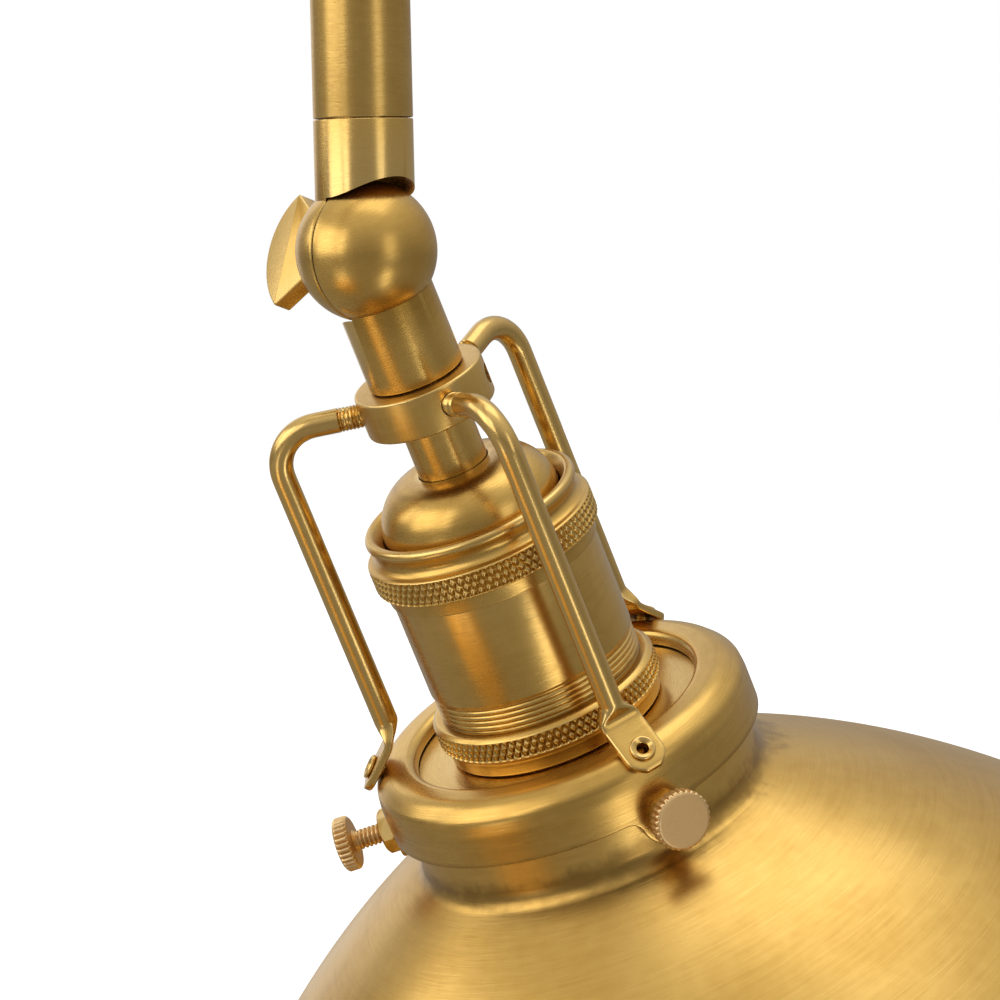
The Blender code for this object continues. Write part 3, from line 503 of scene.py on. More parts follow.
def plate(outline: Sequence[Tuple[float, float]], thickness: float, edge: float) -> bpy.types.Mesh:
    """A flat plate in XY, centred on Z, with rounded edges.

    Args:
        outline: Its outline.
        thickness: Its full thickness.
        edge: Radius of its edges.

    Returns:
        A closed mesh.
    """
    form = bmesh.new()
    points = [form.verts.new((x, y, -thickness / 2)) for x, y in outline]
    bottom = form.faces.new(points)
    grown = bmesh.ops.extrude_face_region(form, geom=[bottom])
    moved = [v for v in grown["geom"] if isinstance(v, bmesh.types.BMVert)]
    bmesh.ops.translate(form, verts=moved, vec=(0, 0, thickness))
    rims = [e for e in form.edges if abs(e.verts[0].co.z - e.verts[1].co.z) < 1e-9]
    bmesh.ops.bevel(form, geom=rims, offset=edge, segments=3, profile=0.5, affect="EDGES")
    bmesh.ops.recalc_face_normals(form, faces=form.faces)
    mesh = bpy.data.meshes.new("plate")
    form.to_mesh(mesh)
    form.free()
    return mesh


def hexagon(across: float, bore: float, high: float, low: float) -> bpy.types.Mesh:
    """A hexagonal nut with chamfered corners and a bore."""
    radius = across / math.sqrt(3)
    outline = [(radius * math.cos(TAU * (i + 0.5) / 6), radius * math.sin(TAU * (i + 0.5) / 6))
               for i in range(6)]
    body = plate(outline, high - low, 0.00012)
    body.transform(Matrix.Translation((0, 0, (high + low) / 2)))
    chamfer = across * 0.07
    rounder = corners((0.0, high), (across / 2 - chamfer * 0.2, high), (radius * 1.02, high - chamfer),
                      (radius * 1.02, low + chamfer), (across / 2 - chamfer * 0.2, low), (0.0, low))
    rounded = combine(body, keep=[(turned(rounder, False, 72), Matrix())])
    return combine(rounded, cut=[(pin(bore, high + 0.001, low - 0.001, 0.0), Matrix())])


def combine(mesh: bpy.types.Mesh, join: Sequence[Tuple[bpy.types.Mesh, Matrix]] = (),
            cut: Sequence[Tuple[bpy.types.Mesh, Matrix]] = (),
            keep: Sequence[Tuple[bpy.types.Mesh, Matrix]] = ()) -> bpy.types.Mesh:
    """Join, cut and intersect meshes.

    Args:
        mesh: The mesh to start from.
        join: Meshes and places that are added.
        cut: Meshes and places that are taken away.
        keep: Meshes and places outside which nothing stays.

    Returns:
        The resulting mesh.
    """
    scene = bpy.context.scene.collection
    body = bpy.data.objects.new("body", mesh)
    scene.objects.link(body)
    tools = []
    for operation, pairs in (("UNION", join), ("DIFFERENCE", cut), ("INTERSECT", keep)):
        for tool_mesh, place in pairs:
            tool = bpy.data.objects.new("tool", tool_mesh)
            tool.matrix_world = place
            scene.objects.link(tool)
            tools.append(tool)
            modifier = body.modifiers.new(operation.title(), "BOOLEAN")
            modifier.operation = operation
            modifier.solver = "EXACT"
            modifier.object = tool
    result = applied(body)
    for used in [body] + tools:
        bpy.data.objects.remove(used, do_unlink=True)
    return result


def applied(obj: bpy.types.Object) -> bpy.types.Mesh:
    """The object's mesh with its modifiers applied."""
    bpy.context.view_layer.update()
    graph = bpy.context.evaluated_depsgraph_get()
    return bpy.data.meshes.new_from_object(obj.evaluated_get(graph))


def mark_edges(mesh: bpy.types.Mesh) -> None:
    """Store how convex each point is, from -1 in a crease to 1 on an edge, as "edge"."""
    mesh.update()
    loops = read(mesh.loops, "edge_index")
    face_of = np.repeat(np.arange(len(mesh.polygons)), read(mesh.polygons, "loop_total"))
    normals = read(mesh.polygons, "normal", 3)
    centres = read(mesh.polygons, "center", 3)
    order = np.argsort(loops, kind="stable")
    edges, faces = loops[order], face_of[order]
    same = np.flatnonzero(edges[1:] == edges[:-1])
    first, second, edge = faces[same], faces[same + 1], edges[same]
    cosine = np.clip((normals[first] * normals[second]).sum(1), -1, 1)
    bend = np.arccos(cosine) / FULL_EDGE
    outward = ((centres[second] - centres[first]) * normals[first]).sum(1) < 0
    signed = np.where(outward, bend, -bend)
    ends = read(mesh.edges, "vertices", 2)[edge]
    value = np.zeros(len(mesh.vertices))
    for column in (0, 1):
        stronger = np.abs(signed) > np.abs(value[ends[:, column]])
        value[ends[stronger, column]] = signed[stronger]
    attribute = mesh.attributes.new("edge", "FLOAT", "POINT")
    attribute.data.foreach_set("value", np.clip(value, -1, 1).astype(np.float32))


# ==================================================================== finishes
class Tone(Enum):
    """Brass colours as linear RGB: plain; darker, for tarnish and painted crease shade; lighter, for
    rubbed edges with a painted highlight.
    """

    SATIN = ((0.66, 0.415, 0.115), (0.43, 0.235, 0.042), (0.82, 0.585, 0.235))
    CAST = ((0.72, 0.475, 0.215), (0.50, 0.305, 0.11), (0.88, 0.66, 0.36))
    MACHINED = ((0.68, 0.445, 0.195), (0.46, 0.27, 0.09), (0.86, 0.64, 0.35))


# Colour of the ragged dark bands drawn near where pieces meet.
DARK_BAND: Colour = (0.165, 0.082, 0.018)


def new_material(name: str) -> Tuple[bpy.types.Material, Graph, bpy.types.Node]:
    """A material with a Principled shader and nothing else wired.

    Args:
        name: The material's name.

    Returns:
        The material, its tree's builder and the shader.
    """
    material = bpy.data.materials.new(name)
    material.use_nodes = True
    return material, Graph(material.node_tree), material.node_tree.nodes["Principled BSDF"]


def local_place(graph: Graph, place: Matrix) -> bpy.types.NodeSocket:
    """Object coordinates read in a local frame."""
    coordinates = graph.node("ShaderNodeTexCoord").outputs["Object"]
    mapping = graph.node("ShaderNodeMapping", {"vector_type": "TEXTURE"}, {
        "Vector": coordinates, "Location": tuple(place.translation),
        "Rotation": tuple(place.to_euler())})
    return mapping.outputs[0]


def wire(graph: Graph, shader: bpy.types.Node, colour: bpy.types.NodeSocket, rough: Value,
         height: Value, strength: float, distance: float) -> None:
    """Wire a finish to its shader.

    Args:
        graph: The material's tree.
        shader: Its Principled shader.
        colour: The colour.
        rough: The roughness.
        height: The height of the relief, from 0 to 1.
        strength: Strength of the bump.
        distance: Its full height in metres.
    """
    bump = graph.node("ShaderNodeBump", None, {"Strength": strength, "Distance": distance,
                                               "Height": height})
    links = graph.tree.links
    links.new(colour, shader.inputs["Base Color"])
    links.new(rough.socket, shader.inputs["Roughness"])
    links.new(bump.outputs[0], shader.inputs["Normal"])


@dataclass(frozen=True)
class Brass:
    """Brass turned and brushed round a piece's axis, then left to age.

    Attributes:
        tone: Its colours.
        roughness: Its mean roughness.
        brushing: Depth of the brush lines, against the usual depth.
        ageing: Strength of its colour variation.
        dark_bands: Ragged dark bands as (from, to, strength) heights on the piece's own axis.
    """

    tone: Tone = Tone.SATIN
    roughness: float = 0.30
    brushing: float = 1.0
    ageing: float = 1.0
    dark_bands: Tuple[Tuple[float, float, float], ...] = ()

    FINE = 5200.0  # Fine brush lines per metre.
    COARSE = 1100.0  # Coarse brush lines per metre.
    CLOUDS = 38.0  # Clouds of tarnish per metre.
    FLECKS = 420.0  # Flecks per metre.

    def material(self, name: str, own: Matrix) -> bpy.types.Material:
        """Build the finish for one piece.

        Args:
            name: The piece's name.
            own: The frame whose Z the brush lines run round.

        Returns:
            The material.
        """
        material, graph, shader = new_material(f"brass_{name}")
        place = local_place(graph, own)
        x, y, z = graph.split(place)
        radius = (x * x + y * y).root().most(1e-6)
        across, along = x / radius, y / radius

        fine = graph.noise(graph.vector(radius * self.FINE, z * self.FINE, across * 7), 1.0, 3.0,
                           along * 7)
        coarse = graph.noise(graph.vector(radius * self.COARSE, z * self.COARSE, across * 3), 1.0,
                             2.0, along * 3)
        cloud = graph.noise(place, self.CLOUDS, 3.0)
        fleck = graph.noise(place, self.FLECKS, 2.0)

        base, deep, rubbed_and_highlight = self.tone.value
        lines = (fine - 0.5) * 0.55 + (coarse - 0.5) * 0.5
        shade = (cloud.between(0.36, 0.68) * 0.42 + (fleck - 0.5) * 0.35 + lines) * self.ageing
        convexity = graph.number(graph.node("ShaderNodeAttribute", {"attribute_name": "edge"}).outputs[2])
        # Painted shade: concave creases between faces are darkened towards the darker tone.
        shade = shade + (convexity * -1.0).between(0.1, 1.0) * 0.65
        colour = graph.blend(base, deep, shade.between(0.0, 1.0, False))
        # Partly rubbed wear, partly painted highlight: convex edges are lightened towards the lighter
        # tone, in patches.
        colour = graph.blend(colour, rubbed_and_highlight, convexity.between(0.25, 1.0) * (cloud + 0.15) * 0.8)
        # Ragged dark bands at given heights darken the colour near where pieces meet.
        for low, high, strength in self.dark_bands:
            away = ((z - (low + high) / 2) / (abs(high - low) / 2)).size()
            ragged = away + (fleck - 0.5) * 1.3 + (cloud - 0.5) * 3.2
            colour = graph.blend(colour, DARK_BAND, ragged.between(1.15, 0.1) * strength)

        rough = (self.roughness + (fine - 0.5) * 0.16 + (cloud - 0.5) * 0.14
                 + convexity.between(0.3, 1.0) * -0.06)
        height = (fine * 0.62 + coarse * 0.38) * self.brushing
        wire(graph, shader, colour, rough.between(0.0, 1.0, False), height, 0.42, 0.00006)
        shader.inputs["Metallic"].default_value = 1.0
        return material


@dataclass(frozen=True)
class Grained:
    """A plain finish with fine grain: cast, plated, moulded, fired or felted.

    Attributes:
        light: Its colour, as linear RGB.
        dark: Its colour in the grain's hollows.
        metallic: 1 for a metal.
        roughness: Its mean roughness.
        grain: Lumps per metre.
        relief: Depth of the grain, in metres.
        coat: Weight of a clear coat.
    """

    light: Colour
    dark: Colour
    metallic: float = 0.0
    roughness: float = 0.5
    grain: float = 1500.0
    relief: float = 0.00005
    coat: float = 0.0

    def material(self, name: str, own: Matrix) -> bpy.types.Material:
        """Build the finish for one piece.

        Args:
            name: The piece's name.
            own: The piece's own frame.

        Returns:
            The material.
        """
        material, graph, shader = new_material(f"{name}_finish")
        place = local_place(graph, own)
        grain = graph.noise(place, self.grain, 3.0)
        cloud = graph.noise(place, self.grain / 40, 2.0)
        colour = graph.blend(self.light, self.dark, grain.between(0.35, 0.7) * 0.7 + cloud * 0.3)
        rough = self.roughness + (grain - 0.5) * 0.12 + (cloud - 0.5) * 0.08
        wire(graph, shader, colour, rough, grain, 0.5, self.relief)
        shader.inputs["Metallic"].default_value = self.metallic
        shader.inputs["Coat Weight"].default_value = self.coat
        return material


Finish = Union[Brass, Grained]

CAST_IRON = Grained((0.11, 0.11, 0.115), (0.05, 0.05, 0.052), 0.7, 0.62, 900.0, 0.0002)
ZINC = Grained((0.56, 0.56, 0.57), (0.42, 0.42, 0.44), 1.0, 0.36, 2600.0, 0.00002)
FELT = Grained((0.045, 0.047, 0.045), (0.015, 0.016, 0.015), 0.0, 0.96, 2200.0, 0.0004)
CERAMIC = Grained((0.84, 0.82, 0.77), (0.74, 0.71, 0.65), 0.0, 0.38, 1300.0, 0.00004)
PLASTIC = Grained((0.035, 0.034, 0.033), (0.02, 0.02, 0.02), 0.0, 0.46, 1900.0, 0.00003)
SOFT_WHITE = Grained((0.90, 0.89, 0.86), (0.86, 0.85, 0.81), 0.0, 0.22, 320.0, 0.00001, 0.6)
SATIN = Brass()
MACHINED = Brass(Tone.MACHINED, 0.33, 0.9, 0.8)


# ==================================================================== grooves and threads
class Cut(Enum):
    """Ways to cut a turned surface: which waves cross on it."""

    STRAIGHT = 0.0
    DIAMOND = 1.0


@dataclass(frozen=True)
class Grooves:
    """Grooves cut in the outer skin of a turned piece by one Geometry Nodes tree.

    Attributes:
        low: Lower end of the cut band.
        high: Upper end of the cut band.
        skin: Radius inside which nothing is cut.
        count: Grooves round the piece.
        rise: Waves per metre along the axis; 0 leaves the grooves straight.
        depth: Depth of the grooves.
        fade: Length over which they run out at both ends.
        cut: Whether a second set crosses the first.
    """

    low: float
    high: float
    skin: float
    count: float
    rise: float
    depth: float
    fade: float
    cut: Cut = Cut.STRAIGHT

    SIZES = ("Low", "High", "Skin", "Count", "Rise", "Depth", "Fade", "Crossing")

    @classmethod
    def tree(cls) -> bpy.types.NodeTree:
        """The tree that cuts the grooves, built when it is first asked for.

        Returns:
            The node tree.
        """
        name = "turned_grooves"
        if name in bpy.data.node_groups:
            return bpy.data.node_groups[name]
        tree = bpy.data.node_groups.new(name, "GeometryNodeTree")
        tree.interface.new_socket("Geometry", in_out="INPUT", socket_type="NodeSocketGeometry")
        for size in cls.SIZES:
            tree.interface.new_socket(size, in_out="INPUT", socket_type="NodeSocketFloat")
        tree.interface.new_socket("Material", in_out="INPUT", socket_type="NodeSocketMaterial")
        tree.interface.new_socket("Geometry", in_out="OUTPUT", socket_type="NodeSocketGeometry")
        graph = Graph(tree)
        given = graph.node("NodeGroupInput").outputs
        low, high, skin, count, rise, depth, fade, crossing = (
            graph.number(given[size]) for size in cls.SIZES)
        x, y, z = graph.split(graph.node("GeometryNodeInputPosition").outputs[0])
        radius = (x * x + y * y).root().most(1e-6)
        turn = y.math("ARCTAN2", y, x) / TAU * count
        first = (turn + z * rise).zigzag()
        second = (turn - z * rise).zigzag()
        crossed = second * crossing + (1.0 - crossing)
        ridge = first.least(crossed).between(0.0, 0.62, False)
        band = z.between(low, low + fade) * z.between(high, high - fade)
        outer = radius.between(skin, skin * 1.001)
        sink = (ridge - 1.0) * depth * band * outer
        offset = graph.vector(x / radius * sink, y / radius * sink, 0.0)
        moved = graph.node("GeometryNodeSetPosition", None,
                           {"Geometry": given["Geometry"], "Offset": offset})
        real = graph.node("GeometryNodeRealizeInstances", None, {0: moved.outputs[0]})
        dressed = graph.node("GeometryNodeSetMaterial", None,
                             {"Geometry": real.outputs[0], "Material": given["Material"]})
        graph.node("NodeGroupOutput", None, {0: dressed.outputs[0]})
        return tree

    def carve(self, mesh: bpy.types.Mesh, material: bpy.types.Material) -> bpy.types.Mesh:
        """Cut the grooves in a mesh.

        Args:
            mesh: A turned mesh in its local frame, with rows close enough for the grooves.
            material: The material that the tree sets.

        Returns:
            The cut mesh.
        """
        tree = self.tree()
        sizes = (self.low, self.high, self.skin, self.count, self.rise, self.depth, self.fade,
                 self.cut.value)
        values: Dict[str, Any] = dict(zip(self.SIZES, sizes))
        values["Material"] = material
        body = bpy.data.objects.new("carved", mesh)
        bpy.context.scene.collection.objects.link(body)
        modifier = body.modifiers.new("Grooves", "NODES")
        modifier.node_group = tree
        for item in tree.interface.items_tree:
            if item.in_out == "INPUT" and item.name in values:
                modifier[item.identifier] = values[item.name]
        result = applied(body)
        bpy.data.objects.remove(body, do_unlink=True)
        return result


# ==================================================================== placing pieces
@dataclass
class Piece:
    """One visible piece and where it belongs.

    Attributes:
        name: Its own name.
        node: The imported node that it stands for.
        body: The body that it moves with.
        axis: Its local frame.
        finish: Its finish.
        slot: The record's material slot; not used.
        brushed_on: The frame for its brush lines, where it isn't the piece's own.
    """

    name: str
    node: str
    body: str
    axis: Axis
    finish: Finish = SATIN
    slot: str = "satin_brass"
    brushed_on: Optional[Matrix] = None
    dressed: Optional[bpy.types.Material] = field(default=None, init=False)

    def material(self) -> bpy.types.Material:
        """The piece's material, made once."""
        if self.dressed is None:
            own = self.axis.matrix if self.brushed_on is None else self.brushed_on
            self.dressed = self.finish.material(self.name, own)
        return self.dressed

    def show(self, mesh: bpy.types.Mesh) -> bpy.types.Object:
        """Place a mesh as this piece.

        Args:
            mesh: The mesh in the piece's local frame.

        Returns:
            The piece's object, at the origin with its place in its mesh.
        """
        mesh = mesh.copy()
        mesh.transform(self.axis.matrix)
        mesh.materials.clear()
        mesh.materials.append(self.material())
        mesh.shade_smooth()
        mesh.set_sharp_from_angle(angle=SHARP)
        mark_edges(mesh)
        obj = bpy.data.objects.new(self.name, mesh)
        bpy.context.scene.collection.objects.link(obj)
        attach(obj, self.body)
        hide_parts(self.node)
        LOG.info("%s rides on %s with %d faces", self.name, self.body, len(mesh.polygons))
        return obj


def joint_centre(name: str) -> Tuple[float, float, float]:
    """Where a joint's axis passes, in metres."""
    for joint in frame["joints"]:
        if joint["name"] == name:
            return tuple(joint["pos_m"])
    raise KeyError(name)


def dress_kept(node: str, finish: Finish, axis: Axis) -> None:
    """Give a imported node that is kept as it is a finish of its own."""
    obj = frame["nodes"][node]
    obj.data.materials.clear()
    obj.data.materials.append(finish.material(node, axis.matrix))
    LOG.info("%s keeps its packed shape", node)


# ==================================================================== base
@dataclass
class Base:
    """The round base with its column collar, switch and cord inlet.

    Attributes:
        wall: Thickness of the shell's sheet.
        rim: Radius of the shell's rolled rim.
        step: Height of the fine step under the collar.
        seat: Width of the flat that shows round the collar.
        groove: Depth of the collar's two grooves.
        foot: Width of the collar's foot, past its body.
        stroke: The switch's travel.
        nut_teeth: Teeth round the switch's nut.
    """

    wall: float = 0.0014
    rim: float = 0.006
    step: float = 0.0012
    seat: float = 0.0018
    groove: float = 0.0004
    foot: float = 0.0024
    stroke: float = 0.0028
    nut_teeth: int = 44
    axis: Axis = field(default_factory=Axis)

    @staticmethod
    def switch_place() -> Tuple[float, float]:
        """The switch's centre on the base."""
        low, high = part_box("switch_nut")
        return (low.x + high.x) / 2, (low.y + high.y) / 2

    @staticmethod
    def inlet_axis() -> Axis:
        """A frame whose Z points out of the back of the base."""
        low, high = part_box("cord_inlet")
        return Axis((0.0, 0.0, (low.z + high.z) / 2), -math.pi / 2)

    def build(self) -> None:
        """Make every piece of the base."""
        self.shell()
        self.felt()
        self.collar()
        self.inlet()
        self.switch()
        dress_kept("base_weight", CAST_IRON, self.axis)
        for node in ("base_cover", "base_nut", "base_spindle"):
            dress_kept(node, ZINC, self.axis)

    def shell(self) -> None:
        """The spun shell: rolled rim, shallow dome and raised seat for the collar."""
        span = measure("base_shell", self.axis)
        collar = measure("base_collar", self.axis)
        foot = collar.outer + self.seat
        outline = [(collar.inner, span.high, 0.0), (foot, span.high, 0.0006),
                   (foot + 0.0007, span.high - self.step, 0.0006),
                   (foot + 0.0090, span.high - 0.0040, 0.012),
                   (foot + 0.0240, span.high - 0.0082, 0.020),
                   (span.outer * 0.52, span.high - 0.0112, 0.020),
                   (span.outer - self.rim * 1.6, span.high - 0.0178, 0.003),
                   (span.outer - self.rim * 0.5, span.high - 0.0196, 0.003),
                   (span.outer, span.high - 0.0240, 0.004), (span.outer, span.low, 0.0)]
        profile = softened(outline, False, 8)
        body = revolve(thick(profile, self.wall), True, 192)
        switch = Axis((*self.switch_place(), 0.0))
        barrel = measure("switch_barrel", switch).outer + 0.0002
        inlet = measure("cord_inlet", self.inlet_axis())
        cut = [(pin(barrel, span.high * 2, span.high * 0.3, 0.0), switch.matrix),
               (pin(inlet.outer * 0.8, span.outer * 1.2, span.outer * 0.8, 0.0),
                self.inlet_axis().matrix)]
        finish = Brass(Tone.SATIN, 0.31, 1.1, 1.1)
        Piece("spun_base", "base_shell", "base", self.axis, finish).show(combine(body, cut=cut))

    def felt(self) -> None:
        """The felt pad, a little smaller than the shell, with a soft edge."""
        span = measure("base_felt", self.axis)
        mesh = pin(span.outer, span.high, span.low, 0.0005, 144)
        Piece("felt_pad", "base_felt", "base", self.axis, FELT, "felt").show(mesh)

    def collar(self) -> None:
        """The turned collar that the column stands and turns in."""
        span = measure("base_collar", self.axis)
        tube = measure("column_tube", self.axis)
        bore = tube.outer + GAP
        body = span.outer - self.foot
        seat = tube.low - 0.0005
        outline = corners((bore, span.high, 0.0003), (body - 0.0012, span.high, 0.0007),
                          (body, span.high - 0.0014, 0.0007))
        for height in (span.high - 0.0040, span.high - 0.0062):
            outline += corners((body, height + 0.0005, 0.0002), (body - self.groove, height, 0.0002),
                               (body, height - 0.0005, 0.0002))
        outline += corners((body, span.low + 0.0066, 0.0012), (span.outer, span.low + 0.0034, 0.0008),
                           (span.outer, span.low, 0.0003), (span.inner, span.low),
                           (span.inner, seat), (bore, seat))
        mesh = turned(outline, True, 128)
        Piece("column_collar", "base_collar", "base", self.axis).show(mesh)

    def inlet(self) -> None:
        """The moulded bushing where a cord would leave the base."""
        axis = self.inlet_axis()
        span = measure("cord_inlet", axis)
        shell = measure("base_shell", self.axis).outer
        neck = span.outer - 0.0012
        outline = corners((span.outer - 0.0003, span.high, 0.0005), (span.outer, shell + GAP, 0.0003),
                          (neck, shell + GAP), (neck, span.low, 0.0004),
                          (span.inner, span.low, 0.0004), (span.inner, span.high, 0.0010))
        mesh = turned(outline, True, 64)
        Piece("inlet_bushing", "cord_inlet", "base", axis, PLASTIC, "bushing_plastic").show(mesh)

    def switch(self) -> None:
        """The push switch: barrel, knurled nut and domed button."""
        axis = Axis((*self.switch_place(), 0.0))
        barrel, nut = measure("switch_barrel", axis), measure("switch_nut", axis)
        button = measure("switch_button", axis)
        bore = button.outer + GAP
        floor = button.low - 2 * GAP - self.stroke
        outline = corners((0.0, floor), (bore, floor), (bore, barrel.high, 0.0003),
                          (barrel.outer, barrel.high, 0.0004), (barrel.outer, barrel.low),
                          (0.0, barrel.low))
        mesh = turned(outline, False, 72)
        Piece("switch_bushing", "switch_barrel", "base", axis, MACHINED, "bright_brass").show(mesh)

        piece = Piece("switch_ring", "switch_nut", "base", axis)
        bore = barrel.outer + 0.0002
        outline = corners((bore, nut.high, 0.0002), (nut.outer - 0.0008, nut.high, 0.0003),
                          (nut.outer, nut.high - 0.0007, 0.0003), (nut.outer, nut.low, 0.0002),
                          (bore, nut.low, 0.0002))
        points = divided(softened(outline, True), nut.low, nut.high, 0.0003)
        grooves = Grooves(nut.low + 0.0002, nut.high - 0.0005, nut.outer * 0.95, self.nut_teeth, 0.0,
                          0.00035, 0.0003)
        mesh = revolve(points, True, self.nut_teeth * 8)
        piece.show(grooves.carve(mesh, piece.material()))

        outline = corners((0.0, button.high), (button.outer * 0.55, button.high - 0.0001, 0.001),
                          (button.outer, button.high - 0.0009, 0.0005), (button.outer, button.low),
                          (0.0, button.low))
        mesh = turned(outline, False, 64, 6)
        Piece("push_button", "switch_button", "switch_push", axis, MACHINED,
              "bright_brass").show(mesh)


# ==================================================================== arms and swivels
@dataclass
class Tube:
    """A plain brass tube along an arm.

    Attributes:
        name: The piece's name.
        node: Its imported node.
        body: The body that it moves with.
        axis: A frame with Z along the tube.
    """

    name: str
    node: str
    body: str
    axis: Axis

    def build(self) -> None:
        """Make the tube, with its ends just softened."""
        span = measure(self.node, self.axis)
        mesh = ring(span.outer, span.inner, span.high, span.low, 0.00018, 128)
        Piece(self.name, self.node, self.body, self.axis).show(mesh)


@dataclass
class SwivelShape:
    """The meshes that all three swivels share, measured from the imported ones.

    Attributes:
        seam: Half the gap between the two halves.
        edge: Softening of the ball's edge at the seam.
        wing_root: Width of the key's paddle at its narrow end.
        wing_shoulder: Distance from that end to the paddle's tips.
        wing_thickness: Its thickness.
    """

    seam: float = 0.00012
    edge: float = 0.00022
    wing_root: float = 0.0094
    wing_shoulder: float = 0.0061
    wing_thickness: float = 0.0034

    def __post_init__(self) -> None:
        """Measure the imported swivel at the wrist, whose fixed stem points up."""
        axis = Axis(joint_centre("head_tilt"))
        points = local_points("wrist_fixed_half", axis)
        below = points[points[:, 2] < -0.001]
        self.ball = float(np.linalg.norm(below, axis=1).max())
        self.flat = float(points[:, 1].max())
        self.spigot_end = float(points[:, 2].max())
        tube = measure("drop_tube", Axis(joint_centre("elbow_bend"), math.pi))
        self.tube = tube.outer
        self.spigot = tube.inner - GAP
        self.stem = float(points[np.hypot(points[:, 0], points[:, 1]) > tube.outer * 0.97][:, 2].max())
        self.stem += 0.0001
        key = measure("wrist_wing_key", Axis(joint_centre("head_tilt"), level=True), below=0.0)
        self.shank = key.outer
        self.reach = -key.low

    def half(self, fixed: bool, stem: bpy.types.Mesh) -> bpy.types.Mesh:
        """Half a ball joined to its stem.

        Args:
            fixed: Whether it is the half that the key goes through, on the side of +Y.
            stem: Its stem, along Z.

        Returns:
            The half's mesh, with its stem up Z.
        """
        bore = self.shank + GAP
        start = math.degrees(math.asin(self.flat / self.ball)) if fixed else 90.0
        dome = [(r, h) for r, h, _ in arc((0.0, 0.0), self.ball, start, 2.0, 40)]
        dome += [(self.ball - 0.00002, self.seam + self.edge), (self.ball - self.edge, self.seam)]
        if fixed:
            points = [(bore, self.flat)] + dome + [(bore, self.seam)]
        else:
            points = dome + [(bore, self.seam), (bore, self.reach + GAP), (0.0, self.reach + GAP)]
            points[0] = (0.0, self.ball)
        side = 1.0 if fixed else -1.0
        to_side = Matrix.Rotation(-side * math.pi / 2, 4, "X")
        shell = revolve(points, fixed, 128)
        shell.transform(to_side)
        past = 3 * self.ball
        notch = pin(self.ball + GAP, self.seam, -past, 0.0, 160)
        cut_stem = combine(stem, cut=[(notch, to_side)])
        return combine(cut_stem, join=[(shell, Matrix())])

    def stem_mesh(self) -> bpy.types.Mesh:
        """A stem with its spigot, which goes into a tube."""
        outline = corners((0.0, self.spigot_end), (self.spigot, self.spigot_end, 0.0004),
                          (self.spigot, self.stem), (self.tube, self.stem, 0.00018),
                          (self.tube, self.ball * 0.6), (0.0, self.ball * 0.6))
        return turned(outline, False, 128)

    def wrist_stem(self) -> bpy.types.Mesh:
        """The wrist's lower stem, bored for the head's neck."""
        axis = Head.axis()
        end = -measure("wrist_moving_half", axis).low
        neck = measure("head_neck", axis)
        bore, floor = neck.outer + 0.0002, -neck.high - GAP
        outline = corners((0.0, floor), (bore, floor), (bore, end, 0.0002),
                          (self.tube, end, 0.00025), (self.tube, self.ball * 0.6),
                          (0.0, self.ball * 0.6))
        return turned(outline, False, 128)

    def key(self) -> bpy.types.Mesh:
        """The wing key along Z: shank, collar and a fan-shaped paddle."""
        hinge = Axis(joint_centre("head_tilt"), level=True)
        points = local_points("wrist_wing_key", hinge)
        top = float(points[:, 2].max())
        half = float(np.hypot(points[:, 0], points[:, 1]).max())
        collar = measure("wrist_washer", hinge).high + 0.0002
        root = collar + GAP
        wide = self.shank * 1.15
        outline = corners((0.0, root + 0.0006), (wide, root + 0.0006), (wide, collar, 0.0002),
                          (self.shank, collar), (self.shank, -self.reach), (0.0, -self.reach))
        shank = turned(outline, False, 64)
        rise = top - root - self.wing_shoulder
        radius = (rise ** 2 + half ** 2) / (2 * rise)
        start = math.degrees(math.asin(1 - rise / radius))
        fan = arc((0.0, top - root - radius), radius, start, 180 - start, 48)
        fan[0], fan[-1] = (*fan[0][:2], 0.0006), (*fan[-1][:2], 0.0006)
        fan += corners((-self.wing_root / 2, 0.0, 0.0008), (self.wing_root / 2, 0.0, 0.0008))
        paddle = plate(softened(fan, True), self.wing_thickness, 0.0003)
        place = Matrix.Translation((0, 0, root)) @ Matrix.Rotation(math.pi / 2, 4, "X")
        return combine(shank, join=[(paddle, place)])


@dataclass
class Swivel:
    """One of the three ball swivels.

    Attributes:
        name: Its name: shoulder, elbow or wrist.
        joint: The joint at its centre.
        bodies: The bodies of its fixed and of its moving half.
        turns: Turn of each half's stem about Y, from straight up.
        key_turn: Turn of the key's paddle.
    """

    name: str
    joint: str
    bodies: Tuple[str, str]
    turns: Tuple[float, float]
    key_turn: float

    def build(self, fixed: bpy.types.Mesh, moving: bpy.types.Mesh, key: bpy.types.Mesh) -> None:
        """Place the two halves, the washer and the key.

        Args:
            fixed: Mesh of the half that holds the key.
            moving: Mesh of the other half.
            key: Mesh of the key, along Z.
        """
        centre = joint_centre(self.joint)
        for word, mesh, body, turn in (("fixed", fixed, self.bodies[0], self.turns[0]),
                                       ("moving", moving, self.bodies[1], self.turns[1])):
            axis = Axis(centre, turn)
            finish = Brass(Tone.SATIN, 0.28, 0.8, 0.75)
            Piece(f"{self.name}_{word}_ball", f"{self.name}_{word}_half", body, axis,
                  finish).show(mesh)
        hinge = Axis(centre, level=True)
        span = measure(f"{self.name}_washer", hinge)
        mesh = ring(span.outer, span.inner, span.high, span.low, 0.0001, 72)
        Piece(f"{self.name}_key_washer", f"{self.name}_washer", self.bodies[0], hinge, MACHINED,
              "bright_brass").show(mesh)
        turned = Axis(centre, spin=self.key_turn, level=True)
        Piece(f"{self.name}_thumb_key", f"{self.name}_wing_key", f"{self.name}_key", turned,
              Brass(Tone.SATIN, 0.34, 0.5, 0.7), brushed_on=Axis(centre).matrix).show(key)


